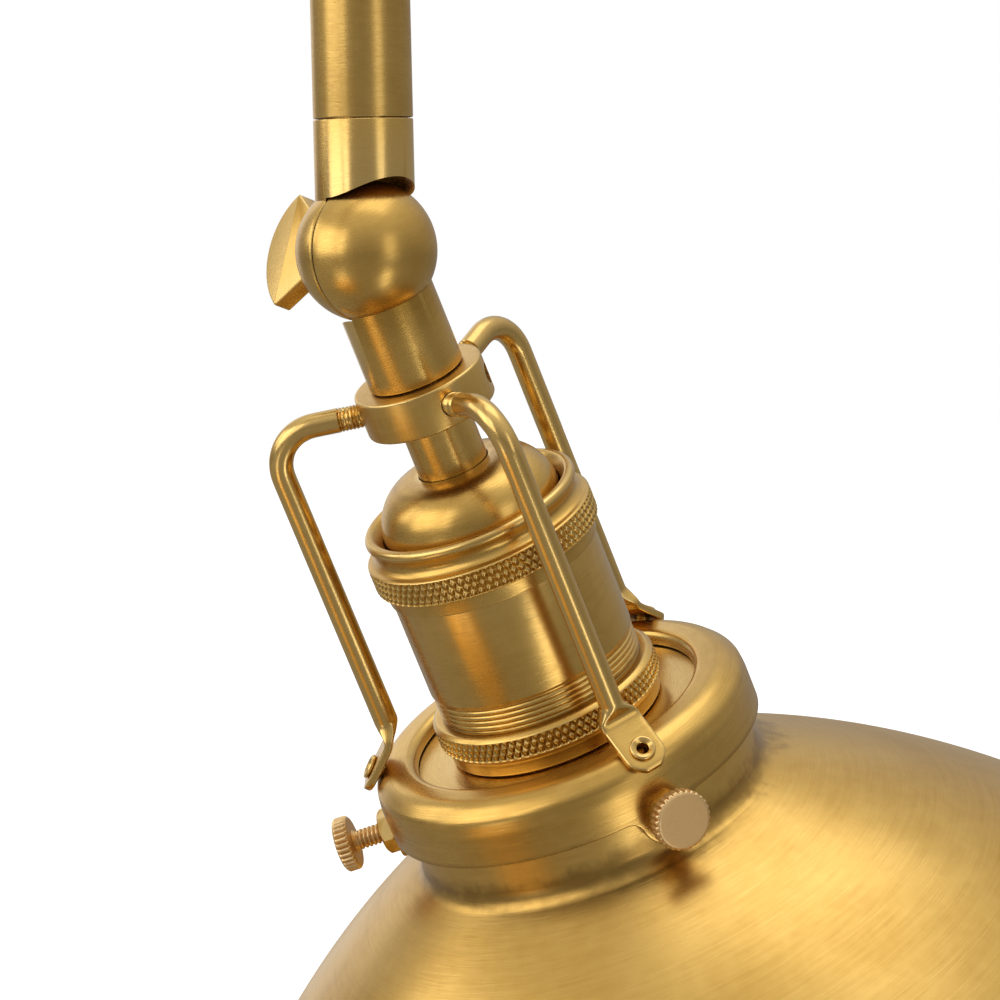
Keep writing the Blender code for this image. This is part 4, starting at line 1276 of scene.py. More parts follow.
class Arms:
    """Column, boom and drop tube, with the three swivels."""

    LEAN = math.radians(18)

    def build(self) -> None:
        """Make the tubes and the swivels."""
        shoulder, elbow = joint_centre("boom_lift"), joint_centre("elbow_bend")
        quarter = math.pi / 2
        Tube("upright_column", "column_tube", "column", Axis()).build()
        Tube("level_boom", "boom_tube", "boom", Axis(shoulder, quarter)).build()
        Tube("hanging_tube", "drop_tube", "drop", Axis(elbow, math.pi)).build()
        shape = SwivelShape()
        fixed = shape.half(True, shape.stem_mesh())
        moving = shape.half(False, shape.stem_mesh())
        wrist = shape.half(False, shape.wrist_stem())
        key = shape.key()
        tilt = Head.tilt()
        Swivel("shoulder", "boom_lift", ("column", "boom"), (math.pi, quarter),
               self.LEAN).build(fixed, moving, key)
        Swivel("elbow", "elbow_bend", ("boom", "drop"), (-quarter, math.pi),
               self.LEAN).build(fixed, moving, key)
        Swivel("wrist", "head_tilt", ("drop", "head"), (0.0, math.pi - tilt),
               quarter + self.LEAN).build(fixed, wrist, key)


# ==================================================================== head
class Head:
    """The frame of the lamp's head: Z runs back up its axis to the wrist's ball."""

    ROD_JOINTS = ("thumb_screw_1_travel", "thumb_screw_2_travel", "thumb_screw_3_travel")

    @staticmethod
    def tilt() -> float:
        """The head's lean from straight down, in radians."""
        centre = joint_centre("head_tilt")
        low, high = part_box("socket_shell")
        middle = (low + high) / 2
        return math.atan2(middle.x - centre[0], centre[2] - middle.z)

    @classmethod
    def axis(cls, spin: float = 0.0, station: float = 0.0) -> Axis:
        """The head's frame.

        Args:
            spin: Turn about the head's own axis.
            station: Distance of the origin from the ball, down the axis.

        Returns:
            The frame.
        """
        tilt = cls.tilt()
        centre = Vector(joint_centre("head_tilt"))
        centre += Vector((math.sin(tilt), 0, -math.cos(tilt))) * station
        return Axis(tuple(centre), -tilt, spin)

    @classmethod
    def azimuths(cls) -> List[float]:
        """Where the three rods and thumb screws are round the head's axis."""
        inverse = cls.axis().matrix.to_3x3().inverted()
        result = []
        for joint in frame["joints"]:
            if joint["name"] in cls.ROD_JOINTS:
                way = inverse @ Vector(joint["axis"])
                result.append(math.atan2(way.y, way.x))
        return result


@dataclass
class Gallery:
    """Hub, neck, set screw, three bent rods and their rivets.

    Attributes:
        rod: Radius of the rods.
        bend: Radius of their bend.
        thread: Length of thread that shows outside the hub.
        thread_inside: Length of it in the hub.
        thread_pitch: Its pitch.
        thread_depth: Its depth.
        segments: Points round a rod.
        lug_width: Full width of the flattened lugs.
        lug_thickness: Their thickness.
        lug_length: Their length, from the bend to the tip.
        lug_slope: Their slope on the fitter's shoulder.
        taper: Length of rod before the bend that flattens too.
        nose: Length of a lug's rounded tip.
        rivet_hole: Radius of the rivets' holes.
        rivet_roll: Radius of the rivets' rolled heads.
        screw: Radius of the set screw.
        screw_sink: Its depth below the hub's face.
        screw_key: Radius of its hexagon socket.
        screw_turn: Its azimuth from the first rod.
    """

    rod: float = 0.0020
    bend: float = 0.0070
    thread: float = 0.0028
    thread_inside: float = 0.0048
    thread_pitch: float = 0.0006
    thread_depth: float = 0.00022
    segments: int = 28
    lug_width: float = 0.0070
    lug_thickness: float = 0.0015
    lug_length: float = 0.0103
    lug_slope: float = math.radians(45)
    taper: float = 0.0022
    nose: float = 0.0030
    rivet_hole: float = 0.0013
    rivet_roll: float = 0.00034
    screw: float = 0.0015
    screw_sink: float = 0.0011
    screw_key: float = 0.0008
    screw_turn: float = math.radians(60)

    def build(self) -> None:
        """Make every piece of the gallery."""
        axis = Head.axis()
        self.hub_span = measure("rod_hub", axis)
        self.hub_middle = (self.hub_span.low + self.hub_span.high) / 2
        azimuths = Head.azimuths()
        self.neck(axis)
        self.hub(axis, azimuths)
        self.set_screw(azimuths[0] + self.screw_turn)
        rod = self.rod_mesh(azimuths[0])
        rivet_spot = self.rivet_place(azimuths[0])
        rivet = self.eyelet()
        for number, azimuth in enumerate(azimuths, 1):
            own = Head.axis(azimuth)
            Piece(f"bent_rod_{number}", f"gallery_rod_{number}", "head", own,
                  Brass(Tone.SATIN, 0.27, 0.55, 1.2)).show(rod)
            centre = own.point(*rivet_spot)
            place = (Matrix.Translation(centre) @ own.matrix.to_3x3().to_4x4()
                     @ Matrix.Rotation(self.lug_slope, 4, "Y"))
            mesh = rivet.copy()
            mesh.transform(place)
            Piece(f"eyelet_{number}", f"gallery_rivet_{number}", "head", Axis(),
                  Brass(Tone.SATIN, 0.26, 0.2, 0.8)).show(mesh)

    def neck(self, axis: Axis) -> None:
        """The slim neck between hub and socket cap."""
        span = measure("head_neck", axis)
        mesh = ring(span.outer, span.inner, span.high, span.low, 0.0002, 96)
        Piece("slim_neck", "head_neck", "head", axis, Brass(Tone.SATIN, 0.26, 0.7, 1.0)).show(mesh)

    def hub(self, axis: Axis, azimuths: Sequence[float]) -> None:
        """The hub ring with its holes for the rods and the set screw."""
        span = self.hub_span
        neck = measure("head_neck", axis).outer + 0.0002
        body = ring(span.outer, neck, span.high, span.low, 0.00045, 160)
        level = Matrix.Translation((0, 0, self.hub_middle))
        sideways = Matrix.Rotation(math.pi / 2, 4, "Y")
        hole = pin(self.rod + 0.00006, span.outer * 1.5, span.inner, 0.0, 64)
        small = pin(self.screw + 0.0002, span.outer * 1.5, span.inner, 0.0, 48)
        cut = [(hole, level @ Matrix.Rotation(a, 4, "Z") @ sideways) for a in azimuths]
        screw = azimuths[0] + self.screw_turn
        cut.append((small, level @ Matrix.Rotation(screw, 4, "Z") @ sideways))
        Piece("hub_ring", "rod_hub", "head", axis, Brass(Tone.SATIN, 0.33, 0.8, 0.8)).show(
            combine(body, cut=cut))

    def set_screw(self, azimuth: float) -> None:
        """The hub's grub screw with its hexagon socket."""
        axis = Head.axis(azimuth)
        span = self.hub_span
        face = span.outer - self.screw_sink
        body = pin(self.screw, face, span.inner + GAP, 0.0002, 40)
        key = [(x, y) for x, y, _ in arc((0.0, 0.0), self.screw_key, 0, 300, 5)]
        socket = plate(key, 0.0020, 0.00002)
        body = combine(body, cut=[(socket, Matrix.Translation((0, 0, face)))])
        body.transform(Matrix.Translation((0, 0, self.hub_middle))
                       @ Matrix.Rotation(math.pi / 2, 4, "Y"))
        Piece("grub_screw", "hub_set_screw", "head", axis, ZINC, "zinc_steel").show(body)

    def rivet_place(self, azimuth: float) -> Tuple[float, float, float]:
        """The rivet's centre in the frame of its rod."""
        points = local_points("gallery_rivet_1", Head.axis(azimuth))
        slope = Matrix.Rotation(self.lug_slope, 4, "Y")
        outwards = np.array(slope.to_3x3() @ Vector((0, 0, 1)))
        top = (points @ outwards).max()
        middle = (points.max(0) + points.min(0)) / 2
        back = top - middle @ outwards - self.lug_thickness / 2 - GAP - 0.0004
        return tuple(float(v) for v in middle + outwards * back)

    def rod_mesh(self, azimuth: float) -> bpy.types.Mesh:
        """A bent rod from its thread in the hub to the tip of its lug.

        Args:
            azimuth: The first rod's azimuth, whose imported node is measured.

        Returns:
            The rod in its own plane, X outwards and Z up the head's axis.
        """
        centre = Vector(self.rivet_place(azimuth))
        points = local_points("gallery_rod_1", Head.axis(azimuth))
        upper = points[points[:, 2] > self.hub_middle - self.bend * 1.5]
        circle = float(upper[:, 0].max()) - self.rod
        crown = float(points[:, 2].max()) - self.rod
        start = float(points[:, 0].min())
        along = Vector((math.cos(self.lug_slope), 0, -math.sin(self.lug_slope)))
        reach = (centre.x - circle) / along.x
        turn = centre - along * reach
        face = self.hub_span.outer + 0.0004
        path = [Vector((start, 0, self.hub_middle)), Vector((face, 0, self.hub_middle))]
        path += [Vector((x, 0, z)) for x, z, _ in
                 arc((circle - self.bend, crown - self.bend), self.bend, 95, 0, 20)]
        path += [Vector((circle, 0, turn.z + 0.0075)), Vector((circle, 0, turn.z + 0.0030)),
                 Vector((circle + 0.0001, 0, turn.z + 0.0012)),
                 turn + along * 0.0010, turn + along * 0.0022, centre]
        path += [turn + along * (self.lug_length - left) for left in (0.0018, 0.0006, 0.0)]
        return self.loft(self.even_path(path, 0.00014), turn, along)

    @staticmethod
    def even_path(path: Sequence[Vector], step: float) -> List[Vector]:
        """Points at even steps along a path."""
        result = [path[0]]
        for a, b in zip(path, path[1:]):
            pieces = max(1, round((b - a).length / step))
            result += [a.lerp(b, i / pieces) for i in range(1, pieces + 1)]
        return result

    def loft(self, path: Sequence[Vector], turn: Vector, along: Vector) -> bpy.types.Mesh:
        """Sections along the rod's path, round in the rod and flat in the lug.

        Args:
            path: Points of the centreline, in the plane of X and Z.
            turn: Where the lug's middle line starts.
            along: The lug's direction.

        Returns:
            The closed mesh.
        """
        segments = self.segments
        angles = np.arange(segments) * TAU / segments
        smooth = self.relaxed(path)
        rows = []
        travelled = 0.0
        tip = (path[-1] - turn).dot(along)
        threaded = self.thread + self.thread_inside
        for index, here in enumerate(smooth):
            before, after = smooth[max(index - 1, 0)], smooth[min(index + 1, len(smooth) - 1)]
            way = (after - before).normalized()
            normal = Vector((way.z, 0, -way.x))
            if index:
                travelled += (here - smooth[index - 1]).length
            down = (here - turn).dot(along) if here.z < turn.z + 0.010 else -1.0
            half, thin, square = self.section(down, tip)
            groove = 0.0
            if travelled < threaded:
                turn_share = (travelled / self.thread_pitch) % 1.0
                groove = self.thread_depth * (1 - abs(turn_share * 2 - 1))
            power = 2.0 / square
            ring_points = []
            for angle in angles:
                c, s = math.cos(angle), math.sin(angle)
                wide = (half - groove) * math.copysign(abs(c) ** power, c)
                deep = (thin - groove) * math.copysign(abs(s) ** power, s)
                ring_points.append(here + Vector((0, wide, 0)) + normal * deep)
            rows.append(ring_points)
        vertices = np.array([p[:] for row in rows for p in row] + [smooth[0][:], smooth[-1][:]])
        faces = []
        for i in range(len(rows) - 1):
            for j in range(segments):
                k = (j + 1) % segments
                faces.append((i * segments + j, i * segments + k, (i + 1) * segments + k,
                              (i + 1) * segments + j))
        last = (len(rows) - 1) * segments
        for j in range(segments):
            k = (j + 1) % segments
            faces.append((len(vertices) - 2, k, j))
            faces.append((len(vertices) - 1, last + j, last + k))
        mesh = mesh_from(vertices, faces)
        centre = Vector(self.rivet_place(Head.azimuths()[0]))
        place = Matrix.Translation(centre) @ Matrix.Rotation(self.lug_slope, 4, "Y")
        return combine(mesh, cut=[(pin(self.rivet_hole, 0.003, -0.003, 0.0, 40), place)])

    def section(self, down: float, tip: float) -> Tuple[float, float, float]:
        """The rod's section at one place.

        Args:
            down: Distance down the lug's middle line, below 0 on the rod itself.
            tip: The same distance at the lug's tip.

        Returns:
            Half width, half thickness, and squareness from 2 for round.
        """
        if down < -self.taper:
            return self.rod, self.rod, 2.0
        flat = min(1.0, (down + self.taper) / (self.taper + 0.0004))
        flat = flat * flat * (3 - 2 * flat)
        full = self.lug_width / 2
        half = self.rod + (full - self.rod) * flat
        thin = self.rod + (self.lug_thickness / 2 - self.rod) * flat
        left = tip - down
        if left < self.nose:
            t = 1 - max(left, 0.0) / self.nose
            half = full * (1 - 0.62 * t ** 2.2)
            thin *= 1 - 0.35 * t ** 8
        return half, thin, 2.0 + 5.0 * flat

    @staticmethod
    def relaxed(path: Sequence[Vector]) -> List[Vector]:
        """The path with its corners eased, its ends kept."""
        points = np.array([p[:] for p in path])
        for _ in range(30):
            points[1:-1] = (points[:-2] + points[1:-1] * 2 + points[2:]) / 4
        return [Vector(p) for p in points]

    def eyelet(self) -> bpy.types.Mesh:
        """A hollow rivet along Z, centred on the lug's middle plane."""
        face, roll = self.lug_thickness / 2, self.rivet_roll
        tube = self.rivet_hole - 0.0002
        bore, head = tube - 0.0002, tube + 0.0010
        end = -face - 0.0018
        outline = arc((head - roll, face + roll + 0.00004), roll, 90, -90, 8)
        outline += corners((tube, face + 0.00004), (tube, end), (bore, end),
                           (bore, face + roll, 0.0003))
        return turned(outline, True, 48)


@dataclass
class Socket:
    """The bulb socket: cap, knurled cap ring, shell and knurled shade ring.

    Attributes:
        diamonds: Knurl points round the rings.
        knurl_rise: Knurl points per metre along the axis.
        knurl_depth: Depth of the knurls.
        thread_lines: Fine grooves at the foot of the shell.
        thread_depth: Their depth.
        thread_pitch: Their pitch.
        cap_wall: Thickness of the cap's sheet.
        cap_skirt: Height of the cap's straight skirt.
    """

    diamonds: int = 88
    knurl_rise: float = 430.0
    knurl_depth: float = 0.00045
    thread_lines: int = 5
    thread_depth: float = 0.00022
    thread_pitch: float = 0.00092
    cap_wall: float = 0.0009
    cap_skirt: float = 0.0045

    def build(self) -> None:
        """Make the socket's pieces."""
        axis = Head.axis()
        self.cap(axis)
        self.cap_ring(axis)
        self.shell(axis)
        self.shade_ring(axis)
        for node, finish in (("socket_liner", CERAMIC), ("socket_screw_shell", MACHINED),
                             ("socket_contact", MACHINED), ("bulb_cap", ZINC)):
            dress_kept(node, finish, axis)

    def knurl(self, piece: Piece, outline: Sequence[Corner], low: float, high: float,
              skin: float, past: float = 0.0) -> None:
        """Turn a ring, cut its band with diamonds and show it.

        Args:
            piece: The ring's piece.
            outline: Its closed section.
            low: Lower end of the band.
            high: Upper end of the band.
            skin: Radius inside which nothing is cut.
            past: Length that the cut runs past the band's ends.
        """
        points = divided(softened(outline, True), low - 0.0001, high + 0.0001, 0.00013)
        grooves = Grooves(low - past, high + past, skin, self.diamonds, self.knurl_rise,
                          self.knurl_depth, 0.0003, Cut.DIAMOND)
        mesh = revolve(points, True, self.diamonds * 10)
        piece.show(grooves.carve(mesh, piece.material()))

    def cap(self, axis: Axis) -> None:
        """The domed cap that the neck goes into."""
        span = measure("socket_cap", axis)
        foot = span.low + self.cap_skirt
        height = span.high - foot
        start = span.inner + 0.0014
        dome = [(span.inner, span.high)]
        for i in range(25):
            angle = math.pi / 2 * i / 24
            dome.append((start + (span.outer - start) * math.sin(angle),
                         foot + height * math.cos(angle)))
        dome.append((span.outer, span.low))
        mesh = revolve(thick(dome, self.cap_wall), True, 160)
        dark_bands = ((span.high + 0.0004, span.high - 0.0016, 0.5), (foot - 0.0030, foot + 0.0022, 0.55))
        Piece("domed_cap", "socket_cap", "head", axis,
              Brass(Tone.SATIN, 0.27, 0.8, 0.9, dark_bands)).show(mesh)

    def cap_ring(self, axis: Axis) -> None:
        """The ring under the cap: rolled lip, hollow band, diamond knurl and a plain band."""
        span = measure("socket_cap_ring", axis)
        top, foot, knurl = span.high, span.low, span.outer
        shell = measure("socket_shell", axis)
        cap = measure("socket_cap", axis)
        lip = knurl - 0.0011
        low, high = top - 0.0090, top - 0.0050
        seat = shell.high + 0.0002
        bore, narrow = shell.outer + 0.0002, cap.outer + 0.0002
        outline = corners((narrow + 0.0006, top - 0.0012, 0.0004), (lip - 0.0014, top, 0.0005),
                          (lip - 0.0003, top - 0.0002, 0.0007), (lip + 0.0001, top - 0.0012, 0.0008),
                          (lip - 0.0006, top - 0.0022, 0.0008), (lip - 0.0009, top - 0.0034, 0.0009),
                          (lip - 0.0001, top - 0.0045, 0.0008), (knurl - 0.0003, high + 0.0003, 0.0003),
                          (knurl, high, 0.0002), (knurl, low, 0.0002),
                          (lip - 0.0002, low - 0.0004, 0.0002), (lip - 0.0002, foot, 0.0003),
                          (bore, foot, 0.0002), (bore, seat), (narrow, seat),
                          (narrow, top - 0.0020, 0.0003))
        piece = Piece("cap_knurl_ring", "socket_cap_ring", "head", axis,
                      Brass(Tone.SATIN, 0.29, 0.8, 1.0))
        self.knurl(piece, outline, low, high, lip + 0.0002, 0.0001)

    def shell(self, axis: Axis) -> None:
        """The plain shell, with thread lines at its foot."""
        span = measure("socket_shell", axis)
        ring_top = measure("shade_ring", axis).high
        pitch = self.thread_pitch
        first = ring_top + pitch * self.thread_lines
        crest = span.outer - 0.0002
        outline = corners((span.outer, span.high, 0.0002), (span.outer, first + 0.0006, 0.0002),
                          (crest, first + 0.0003, 0.0001))
        for i in range(self.thread_lines):
            height = first - pitch * i
            outline += corners((crest, height, 0.00012),
                               (crest - self.thread_depth, height - pitch * 0.30, 0.00010),
                               (crest, height - pitch * 0.60, 0.00012))
        thin = span.outer - 0.0004
        outline += corners((thin, ring_top - 0.0004), (thin, span.low, 0.0002),
                           (span.inner, span.low, 0.0002), (span.inner, span.high))
        mesh = turned(outline, True, 160, 3)
        dark_bands = ((ring_top - 0.0010, ring_top + 0.0012, 0.7),)
        Piece("socket_body", "socket_shell", "head", axis,
              Brass(Tone.SATIN, 0.25, 0.9, 1.1, dark_bands)).show(mesh)

    def shade_ring(self, axis: Axis) -> None:
        """The lower knurled ring with its smooth flange."""
        span = measure("shade_ring", axis)
        top, foot, knurl = span.high, span.low, span.outer
        flange, bore = knurl - 0.0010, span.inner
        high, low = top - 0.0007, top - 0.0042
        outline = corners((bore, top, 0.0002), (knurl - 0.0008, top, 0.0003),
                          (knurl, high, 0.0003), (knurl, low, 0.0003),
                          (flange + 0.0004, low - 0.0004, 0.0002), (flange, low - 0.0009, 0.0003),
                          (flange, foot, 0.0005), (bore, foot, 0.0002))
        piece = Piece("shade_knurl_ring", "shade_ring", "head", axis,
                      Brass(Tone.SATIN, 0.29, 0.8, 1.1))
        self.knurl(piece, outline, low, high, knurl - 0.0006)


@dataclass
class Fitter:
    """The fitter ring with its tongues, their nuts and the thumb screws.

    Attributes:
        wall: Thickness of the ring's sheet.
        edge: Softening of the skirt's lower edge.
        rise: Height of the skirt's plain edge over the screws' axes.
        tongue: Half the width of a tongue.
        fillet: Radius where a tongue leaves the skirt.
        columns: Points round the ring.
        shank: Radius of a thumb screw's shank.
        head: Thickness of its head.
        teeth: Teeth round its head.
        pitch: Pitch of its thread.
    """

    wall: float = 0.0011
    edge: float = 0.00025
    rise: float = 0.0011
    tongue: float = 0.0050
    fillet: float = 0.0022
    columns: int = 720
    shank: float = 0.0017
    head: float = 0.0026
    teeth: int = 30
    pitch: float = 0.00075

    def build(self) -> None:
        """Make the ring, the nuts and the screws."""
        axis = Head.axis()
        azimuths = Head.azimuths()
        screw = local_points("thumb_nut_1", Head.axis(azimuths[0]))
        self.screw_height = float((screw[:, 2].max() + screw[:, 2].min()) / 2)
        self.ring(axis, azimuths)
        for number, azimuth in enumerate(azimuths, 1):
            self.nut(number, azimuth)
            self.thumb_screw(number, azimuth)

    def outline(self, span: Span) -> List[Tuple[float, float]]:
        """The ring's outer side from the lip of its hole to the top of its skirt's plain part.

        Args:
            span: The ring's hole, skirt and top.

        Returns:
            Points down the outer side.
        """
        top, outer, hole = span.high, span.outer, span.inner
        return softened(corners(
            (hole, top - 0.0022), (hole + 0.0001, top - 0.0009, 0.0006),
            (hole + 0.0010, top, 0.0008), (outer - 0.0027, top - 0.00025, 0.0016),
            (outer - 0.0003, top - 0.00275, 0.0009), (outer, top - 0.0052, 0.0006),
            (outer, top - 0.0062)), False, 8)

    def edge_line(self, azimuths: Sequence[float], radius: float, skirt: float,
                  inset: float) -> Tuple[np.ndarray, np.ndarray]:
        """The skirt's lower edge, with the three tongues.

        Args:
            azimuths: Middles of the tongues.
            radius: Radius of the skirt's outer side.
            skirt: Height of its plain edge.
            inset: Distance that the line is drawn in from the true edge.

        Returns:
            Angle and height of each column's end.
        """
        r, f = self.tongue - inset, self.fillet + inset
        edge = skirt + inset
        lift = edge - f - self.screw_height
        away = math.sqrt((r + f) ** 2 - lift ** 2)
        touch = math.degrees(math.atan2(lift, away))
        line = arc((0.0, self.screw_height), r, -90, touch, 32)
        line += arc((away, edge - f), f, 180 + touch, 90, 12)
        line.append((TAU / 6 * radius, edge, 0.0))
        path = np.array(line)[:, :2]
        steps = np.r_[0, np.cumsum(np.hypot(*np.diff(path, axis=0).T))]
        count = self.columns // 6
        at = np.linspace(0, steps[-1], count + 1)
        x = np.interp(at, steps, path[:, 0])
        z = np.interp(at, steps, path[:, 1])
        across = np.r_[-x[:0:-1], x[:-1]]
        height = np.r_[z[:0:-1], z[:-1]]
        angles = np.concatenate([a + across / radius for a in azimuths])
        return angles, np.tile(height, 3)

    def row(self, radius: float, angle: np.ndarray, height: Union[float, np.ndarray]) -> Row:
        """One row of points round the ring."""
        return np.full(self.columns, radius), angle, np.full(self.columns, height)

    def ring(self, axis: Axis, azimuths: Sequence[float]) -> None:
        """The fitter ring, drawn down into its three tongues."""
        whole = measure("fitter_ring", axis)
        band = measure("fitter_ring", axis, above=self.screw_height + 0.0045)
        radius = band.outer + 0.0003
        outer = self.outline(Span(whole.inner, radius, whole.low, whole.high))
        skirt = self.screw_height + self.rise
        steps = np.arange(self.columns // 3) - self.columns // 6
        plain = np.concatenate([a + steps * TAU / self.columns for a in azimuths])
        low_angle, low_height = self.edge_line(azimuths, radius, skirt, self.edge)
        top = outer[-1][1] - 0.0004

        def side(r: float, fractions: Sequence[float]) -> List[Row]:
            """Rows on one side of the skirt, between its top and its softened edge."""
            return [self.row(r, plain + (low_angle - plain) * t, top + (low_height - top) * t)
                    for t in fractions]

        rows = [self.row(r, plain, z) for r, z in thick(outer, self.wall)[len(outer):] + outer]
        down = [i / 10 for i in range(11)]
        rows += side(radius, down)
        for part in (0.35, 0.75, 1.0):
            angle, height = self.edge_line(azimuths, radius, skirt, self.edge * (1 - part))
            rows.append(self.row(radius - self.edge * (1 - math.sqrt(1 - part ** 2)), angle, height))
        rows.append(self.row(radius - self.wall + self.edge, angle, height))
        rows += side(radius - self.wall, down[::-1])
        self.show_ring(rows, axis, azimuths)

    def show_ring(self, rows: Sequence[Row], axis: Axis, azimuths: Sequence[float]) -> None:
        """Skin the ring's rows, bore it for screws and rivets, and place it.

        Args:
            rows: Radius, angle and height of every column, row by row round the section.
            axis: The head's frame.
            azimuths: Azimuths of the screws and rivets.
        """
        vertices = np.concatenate([np.c_[r * np.cos(a), r * np.sin(a), z] for r, a, z in rows])
        faces = []
        count, columns = len(rows), self.columns
        for i in range(count):
            n = (i + 1) % count
            for j in range(columns):
                k = (j + 1) % columns
                faces.append((i * columns + j, n * columns + j, n * columns + k, i * columns + k))
        mesh = mesh_from(vertices, faces)
        cut = []
        gallery = Gallery()
        spot = gallery.rivet_place(azimuths[0])
        hole = pin(gallery.rivet_hole, 0.0035, -0.0035, 0.0, 32)
        screw_hole = pin(self.shank + 0.0002, 0.040, 0.026, 0.0, 32)
        for azimuth in azimuths:
            turn = Matrix.Rotation(azimuth, 4, "Z")
            cut.append((hole, turn @ Matrix.Translation(spot)
                        @ Matrix.Rotation(gallery.lug_slope, 4, "Y")))
            cut.append((screw_hole, turn @ self.screw_axis()))
        low = self.screw_height + self.rise
        dark_bands = ((low - 0.0006, low + 0.0010, 0.35),)
        Piece("gallery_fitter", "fitter_ring", "head", axis,
              Brass(Tone.SATIN, 0.28, 0.9, 1.0, dark_bands)).show(combine(mesh, cut=cut))

    def screw_axis(self) -> Matrix:
        """A frame with Z out along a thumb screw, in the head's frame turned to its azimuth."""
        return Matrix.Translation((0, 0, self.screw_height)) @ Matrix.Rotation(math.pi / 2, 4, "Y")

    def nut(self, number: int, azimuth: float) -> None:
        """The hexagonal nut on a tongue."""
        own = Head.axis(azimuth)
        points = local_points(f"thumb_nut_{number}", own)
        low, high = float(points[:, 0].min()), float(points[:, 0].max())
        across = float(points[:, 1].max() - points[:, 1].min())
        mesh = hexagon(across, self.shank + 0.0002, high, low - 0.0002)
        mesh.transform(self.screw_axis())
        Piece(f"hex_nut_{number}", f"thumb_nut_{number}", "head", own,
              Brass(Tone.SATIN, 0.36, 0.3, 1.3), brushed_on=Matrix()).show(mesh)

    def thumb_screw(self, number: int, azimuth: float) -> None:
        """A thumb screw with a knurled head and a cut thread."""
        own = Head.axis(azimuth)
        points = local_points(f"thumb_screw_{number}", own)
        tip, end = float(points[:, 0].min()), float(points[:, 0].max())
        head, shank = float(points[:, 1].max()), self.shank
        under = end - self.head
        outline = corners((0.0, end), (head - 0.0005, end, 0.0002), (head, end - 0.0004, 0.0002),
                          (head, under + 0.0004, 0.0002), (head - 0.0005, under, 0.0002),
                          (shank + 0.0003, under, 0.0001), (shank - 0.0002, under - 0.0006, 0.0002),
                          (shank, under - 0.0009), (shank, tip + 0.0005, 0.0001),
                          (shank - 0.0004, tip, 0.0001), (0.0, tip))
        section = divided(softened(outline, False), under, end, 0.00025)
        section = divided(section, tip + 0.0004, under - 0.0008, 0.00011)
        angle = self.screw_axis()
        piece = Piece(f"knurled_screw_{number}", f"thumb_screw_{number}", f"screw_{number}", own,
                      Brass(Tone.CAST, 0.46, 0.5, 0.7), "bright_brass",
                      brushed_on=own.matrix @ angle)
        mesh = revolve(section, False, self.teeth * 8)
        teeth = Grooves(under + 0.0001, end - 0.0001, head - 0.0006, self.teeth, 0.0, 0.0004, 0.0003)
        thread = Grooves(tip + 0.0002, under - 0.0006, shank * 0.6, 1.0, 1 / self.pitch, 0.00034,
                         0.0004)
        mesh = thread.carve(teeth.carve(mesh, piece.material()), piece.material())
        mesh.transform(angle)
        piece.show(mesh)


@dataclass
class Shade:
    """The spun dome shade with its closed neck and beaded rim.

    Attributes:
        wall: Thickness of its sheet.
        corner: Radius at the top of the neck.
        fillet: Radius where the neck meets the dome.
        slope: The dome's slope where it leaves the fillet.
        end_slope: Its slope where it turns into the straight skirt.
        turn_in: Radius gained in that turn.
        neck: Length of the neck.
        bead: Radius of the rim's bead.
        glass: Radius of the bulb's neck.
    """

    wall: float = 0.0010
    corner: float = 0.0020
    fillet: float = 0.0040
    slope: float = math.radians(28.5)
    end_slope: float = math.radians(60.9)
    turn_in: float = 0.0031
    neck: float = 0.0144
    bead: float = 0.0016
    glass: float = 0.0132

    def build(self) -> None:
        """Make the shade."""
        axis = Head.axis()
        span = measure("shade", axis)
        neck = measure("shade", axis, above=span.high - 0.008).outer
        top = span.high
        outer = span.outer - self.bead
        points = [(span.inner, top)]
        points += [(r, z) for r, z, _ in arc((neck - self.corner, top - self.corner), self.corner,
                                             90, 0, 8)]
        foot = top - self.neck
        for i in range(1, 13):
            slope = math.pi / 2 + (self.slope - math.pi / 2) * i / 12
            points.append((neck + self.fillet * (1 - math.sin(slope)),
                           foot - self.fillet * math.cos(slope)))
        start = points[-1]
        points += self.curve(start, outer - self.turn_in, self.slope, self.end_slope, 60)
        points += self.curve(points[-1], outer, self.end_slope, math.pi / 2, 12)
        rim = span.low + self.bead
        points.append((outer, rim + self.bead * 1.1))
        points += [(r, z) for r, z, _ in arc((outer, rim), self.bead, 80, -80, 14)]
        mesh = revolve(thick(points, self.wall), True, 256)
        dark_bands = ((foot - 0.0042, foot + 0.0020, 0.62),)
        Piece("dome_shade", "shade", "head", axis, Brass(Tone.SATIN, 0.31, 1.0, 1.0, dark_bands)).show(mesh)
        self.bulb(axis)

    @staticmethod
    def curve(start: Tuple[float, float], outer: float, first: float, last: float,
              count: int) -> List[Tuple[float, float]]:
        """An arc of the dome.

        Args:
            start: Where it starts.
            outer: The radius that it goes out to.
            first: Its slope at the start.
            last: Its slope at the end.
            count: Points along it.

        Returns:
            The points after the start.
        """
        size = (outer - start[0]) / (math.sin(last) - math.sin(first))
        slopes = [first + (last - first) * i / count for i in range(1, count + 1)]
        return [(start[0] + size * (math.sin(a) - math.sin(first)),
                 start[1] - size * (math.cos(first) - math.cos(a))) for a in slopes]

    def bulb(self, axis: Axis) -> None:
        """The bulb's soft-white glass."""
        span = measure("bulb_glass", axis)
        radius, neck = span.outer, self.glass
        globe = span.low + radius
        outline = corners((neck - 0.001, span.high), (neck, span.high),
                          (neck + 0.0008, span.high - 0.008, 0.004))
        outline += arc((0.0, globe), radius, 35, -90, 40)[:-1] + [(0.0, span.low, 0.0)]
        points = softened(outline, False)
        inside = [(max(r - 0.001, 0.0), z + (0.001 if r < radius * 0.5 and z < globe else 0.0))
                  for r, z in points[1:]]
        mesh = revolve(points + inside[::-1], False, 96)
        Piece("glass_globe", "bulb_glass", "head", axis, SOFT_WHITE, "bulb_glass").show(mesh)


